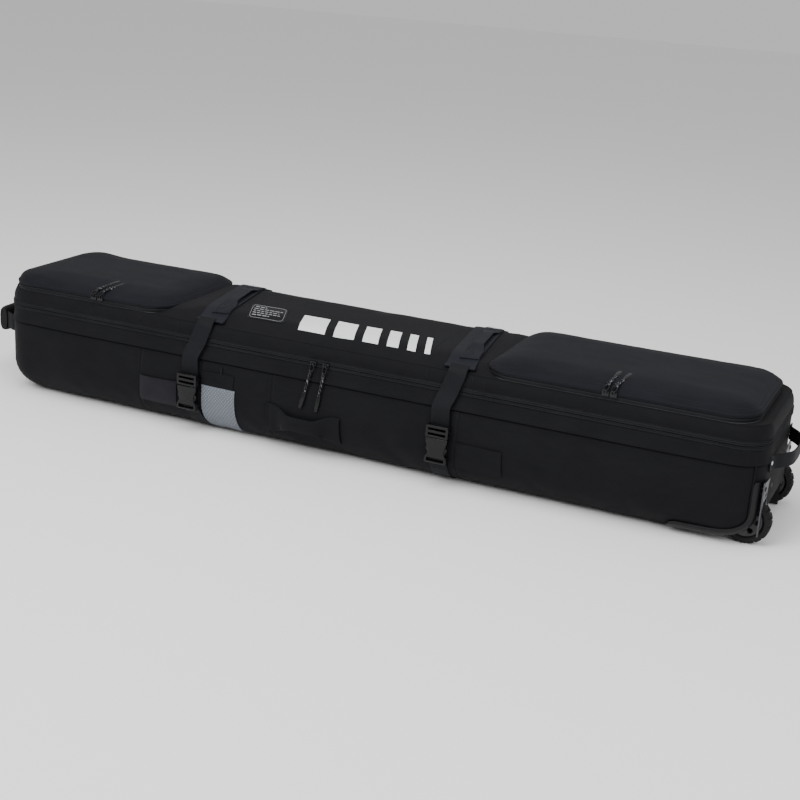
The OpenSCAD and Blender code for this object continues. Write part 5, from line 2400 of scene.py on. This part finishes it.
@dataclass
class Wheel:
    """One wheel with its housing, bracket and bearings."""

    which: str
    form: BagForm
    side: int
    lugs: int = 18
    lug_h: float = 0.0024
    rail_w: float = 0.019

    def tyre(self) -> None:
        """A round-shouldered tyre with staggered lugs."""
        low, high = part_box(f"{self.which}_wheel_tyre")
        centre = (low + high) / 2
        radius, half = (high.z - low.z) / 2, (high.y - low.y) / 2
        inner = 0.0302
        base = radius - self.lug_h
        side = [(inner, half - 0.003), (inner + 0.004, half), (base - 0.008, half)]
        side += [(base - 0.0025, half - 0.0025), (base, half - 0.007), (base, 0.0012)]
        profile = [(r, -y, 0) for r, y in side] + [(r, y, 0) for r, y in reversed(side)]
        bm = bmesh.new()
        edges = closed_line(bm, profile)
        steps = self.lugs * 4
        bmesh.ops.spin(
            bm,
            geom=bm.verts[:] + edges,
            cent=(0, 0, 0),
            axis=(0, 1, 0),
            dvec=(0, 0, 0),
            angle=math.tau,
            steps=steps,
            use_merge=True,
            use_duplicate=False,
        )
        bmesh.ops.remove_doubles(bm, verts=bm.verts, dist=TINY)
        bmesh.ops.recalc_face_normals(bm, faces=bm.faces)
        raised = []
        for face in bm.faces:
            c = face.calc_center_median()
            r = math.hypot(c.x, c.z)
            if r < base - 0.003 or abs(c.y) < 0.0012:
                continue
            place = int(round(math.atan2(c.z, c.x) / math.tau * steps - 0.5)) % steps
            shift = 2 if c.y > 0 else 0
            if (place + shift) % 4 != 3:
                raised.append(face)
        made = bmesh.ops.extrude_face_region(bm, geom=raised)["geom"]
        for v in new_corners(made):
            r = math.hypot(v.co.x, v.co.z)
            grow = (r + self.lug_h - 0.0001) / r
            v.co.x *= grow
            v.co.z *= grow
        bmesh.ops.delete(bm, geom=raised, context="FACES_ONLY")
        bmesh.ops.remove_doubles(bm, verts=bm.verts, dist=TINY)
        bmesh.ops.recalc_face_normals(bm, faces=bm.faces)
        bevel_edges(bm, sharp_edges(bm, 50), 0.0004, 1)
        bmesh.ops.translate(bm, verts=bm.verts, vec=centre)
        finish_piece(f"{self.which}_tyre", bm, TYRE, f"{self.which}_wheel", [f"{self.which}_wheel_tyre"], 35)

    def _housing(self) -> bmesh.types.BMesh:
        """The moulded lining of the wheel's well, without its rail.

        Returns:
            The mesh.
        """
        bm = refined(f"{self.which}_wheel_guard", 0.0008, 2)
        made = bmesh.ops.bisect_plane(
            bm,
            geom=everything(bm),
            dist=TINY,
            plane_co=(0, self.side * 0.1328, 0),
            plane_no=(0, self.side, 0),
            clear_outer=True,
        )
        bmesh.ops.triangle_fill(bm, edges=new_edges(made["geom_cut"]), use_beauty=True)
        return bm

    def rail(self) -> None:
        """The moulded rail that hugs the foot and turns up the corner."""
        points = [(0.682, 0.0205, 0), (0.72, 0.0205, 0), (0.762, 0.0212, 0), (0.792, 0.0262, 0)]
        points += [(0.8135, 0.0385, 0), (0.8240, 0.057, 0), (0.8265, 0.080, 0), (0.8265, 0.104, 0)]
        points.append((0.8265, 0.127, 0))
        path = rounded_path(points, 0.0035)
        columns, rows = len(path) - 1, 10
        bm = net(columns, rows)
        for v in bm.verts:
            k = round((v.co.x + 0.5) * columns)
            across = 2 * v.co.y
            ahead = (path[min(k + 1, columns)] - path[max(k - 1, 0)]).normalized()
            side = Vector((-ahead.y, ahead.x, 0))
            taper = min(1.0, 0.55 + 0.16 * k, 0.55 + 0.2 * (columns - k))
            place = path[k] + side * (self.rail_w / 2 * across * taper)
            out = 0.0018 + 0.0034 * (1 - abs(across) ** 3.5)
            p = self.form.skirt(place.x, place.y, out)
            v.co = Vector((p.x, -p.y * self.side, p.z))
        bm.normal_update()
        if sum(f.normal.y for f in bm.faces) * self.side < 0:
            bmesh.ops.reverse_faces(bm, faces=bm.faces)
        bmesh.ops.solidify(bm, geom=bm.faces[:], thickness=0.0034)
        finish_piece(f"{self.which}_corner_rail", bm, GUARD_BLACK, "tub", (), 60)

    def _bracket(self) -> bmesh.types.BMesh:
        """The metal plate, its outer leg drawn in close to the tyre.

        Returns:
            The mesh.
        """
        bm = refined(f"{self.which}_wheel_bracket", 0.0007, 3)
        for v in bm.verts:
            y = abs(v.co.y)
            if y > 0.133:
                y = 0.1315 + 0.35 * (y - 0.133)
            elif y > 0.096:
                y = 0.096 + (y - 0.096) * 0.0355 / 0.037
            v.co.y = math.copysign(y, v.co.y)
        return bm

    def build(self) -> None:
        """Makes the wheel and its housing."""
        w = self.which
        self.tyre()
        remade(f"{w}_hub", f"{w}_wheel_hub", HUB_PLASTIC, f"{w}_wheel", 0.0008)
        remade(f"{w}_bearings", f"{w}_wheel_bearings", STEEL, f"{w}_wheel", 0.0004)
        lining = finish_piece(f"{w}_well_lining", self._housing(), GUARD_BLACK, "tub", [f"{w}_wheel_guard"])
        y = self.side * 0.136
        toe = block((0.742, y - 0.024, -0.02), (0.762, y + 0.024, 0.0115))
        cut_away(lining, [wheel_arch(self.side), toe])
        self.rail()
        finish_piece(f"{w}_bracket_plate", self._bracket(), BRACKET, "tub", [f"{w}_wheel_bracket"])


def fasteners() -> None:
    """Axles and bracket screws."""
    remade("axle_pins", "wheel_axles", STEEL, "tub", 0.0004)
    screws = refined("bracket_screws", 0.0006, 3)
    for v in screws.verts:
        if abs(v.co.y) > 0.12:
            v.co.y -= math.copysign(0.0165, v.co.y)
    finish_piece("bracket_screw_heads", screws, DARK_STEEL, "tub", ["bracket_screws"])


# ---------------------------------------------------------------- studio


@dataclass
class Studio:
    """Floor, soft lights and camera."""

    place: tuple = (1.1454, -2.5211, 1.0107)
    yaw: float = 23.304
    pitch: float = 18.430
    roll: float = 3.625
    lens: float = 62.85

    def camera(self) -> None:
        """A long lens from the front right, a little above."""
        yaw, pitch, roll = (math.radians(a) for a in (self.yaw, self.pitch, self.roll))
        ahead = Vector((-math.sin(yaw) * math.cos(pitch), math.cos(yaw) * math.cos(pitch), -math.sin(pitch)))
        right = Vector((math.cos(yaw), math.sin(yaw), 0))
        up = right.cross(ahead)
        side = right * math.cos(roll) + up * math.sin(roll)
        top = up * math.cos(roll) - right * math.sin(roll)
        data = bpy.data.cameras.new("camera")
        data.lens = self.lens
        data.sensor_width = 36
        data.clip_end = 50
        camera = bpy.data.objects.new("camera", data)
        turn = Matrix((side, top, -ahead)).transposed().to_4x4()
        camera.matrix_world = Matrix.Translation(self.place) @ turn
        bpy.context.scene.collection.objects.link(camera)
        bpy.context.scene.camera = camera

    def floor(self) -> None:
        """A plain pale floor."""
        floor = raw_piece("floor", net(4, 4, 14))
        sheet = NodeSheet("floor_paint", Pattern.SOLID)
        sheet.set(Base_Color=(0.93, 0.93, 0.93, 1), Roughness=0.85, Specular_IOR_Level=0.2)
        floor.data.materials.append(sheet.material)

    def lights(self) -> None:
        """Large soft lamps and an even sky."""
        for name, place, size, power in (
            ("key", (-0.9, -2.6, 2.7), 2.0, 95),
            ("fill", (2.6, -1.8, 1.7), 1.8, 34),
            ("top", (0.1, -0.7, 3.3), 2.4, 55),
        ):
            data = bpy.data.lights.new(name, "AREA")
            data.size = size
            data.energy = power
            lamp = bpy.data.objects.new(name, data)
            aim = (Vector((0, 0, 0.1)) - Vector(place)).to_track_quat("-Z", "Y")
            lamp.matrix_world = Matrix.Translation(place) @ aim.to_matrix().to_4x4()
            bpy.context.scene.collection.objects.link(lamp)
        world = bpy.data.worlds.new("studio")
        world.use_nodes = True
        background = world.node_tree.nodes["Background"]
        background.inputs["Color"].default_value = (1, 1, 1, 1)
        background.inputs["Strength"].default_value = 0.62
        bpy.context.scene.world = world

    def build(self) -> None:
        """Sets the whole studio up."""
        self.camera()
        self.floor()
        self.lights()


def main() -> None:
    """Builds the bag's visible pieces in order."""
    logging.basicConfig(level=logging.INFO, format="%(message)s")
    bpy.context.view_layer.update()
    Studio().build()
    form = bag_form()
    tub, lid = PaddedTub(form), PaddedLid(form)
    tub.build()
    lid.build()
    for which in ("left", "right"):
        TopPocket(which).build()
    MainZip(form).build()
    for pull in zip_pulls():
        pull.build()
    CompressionStrap("left", -0.314, -0.338, -0.325, -0.337, 11, tub, lid).build()
    CompressionStrap("right", 0.244, 0.222, 0.222, 0.221, 8.4, tub, lid).build()
    Handles(form, tub).build()
    Wheel("front", form, -1).build()
    Wheel("rear", form, 1).build()
    fasteners()


if __name__ == "__main__":
    main()
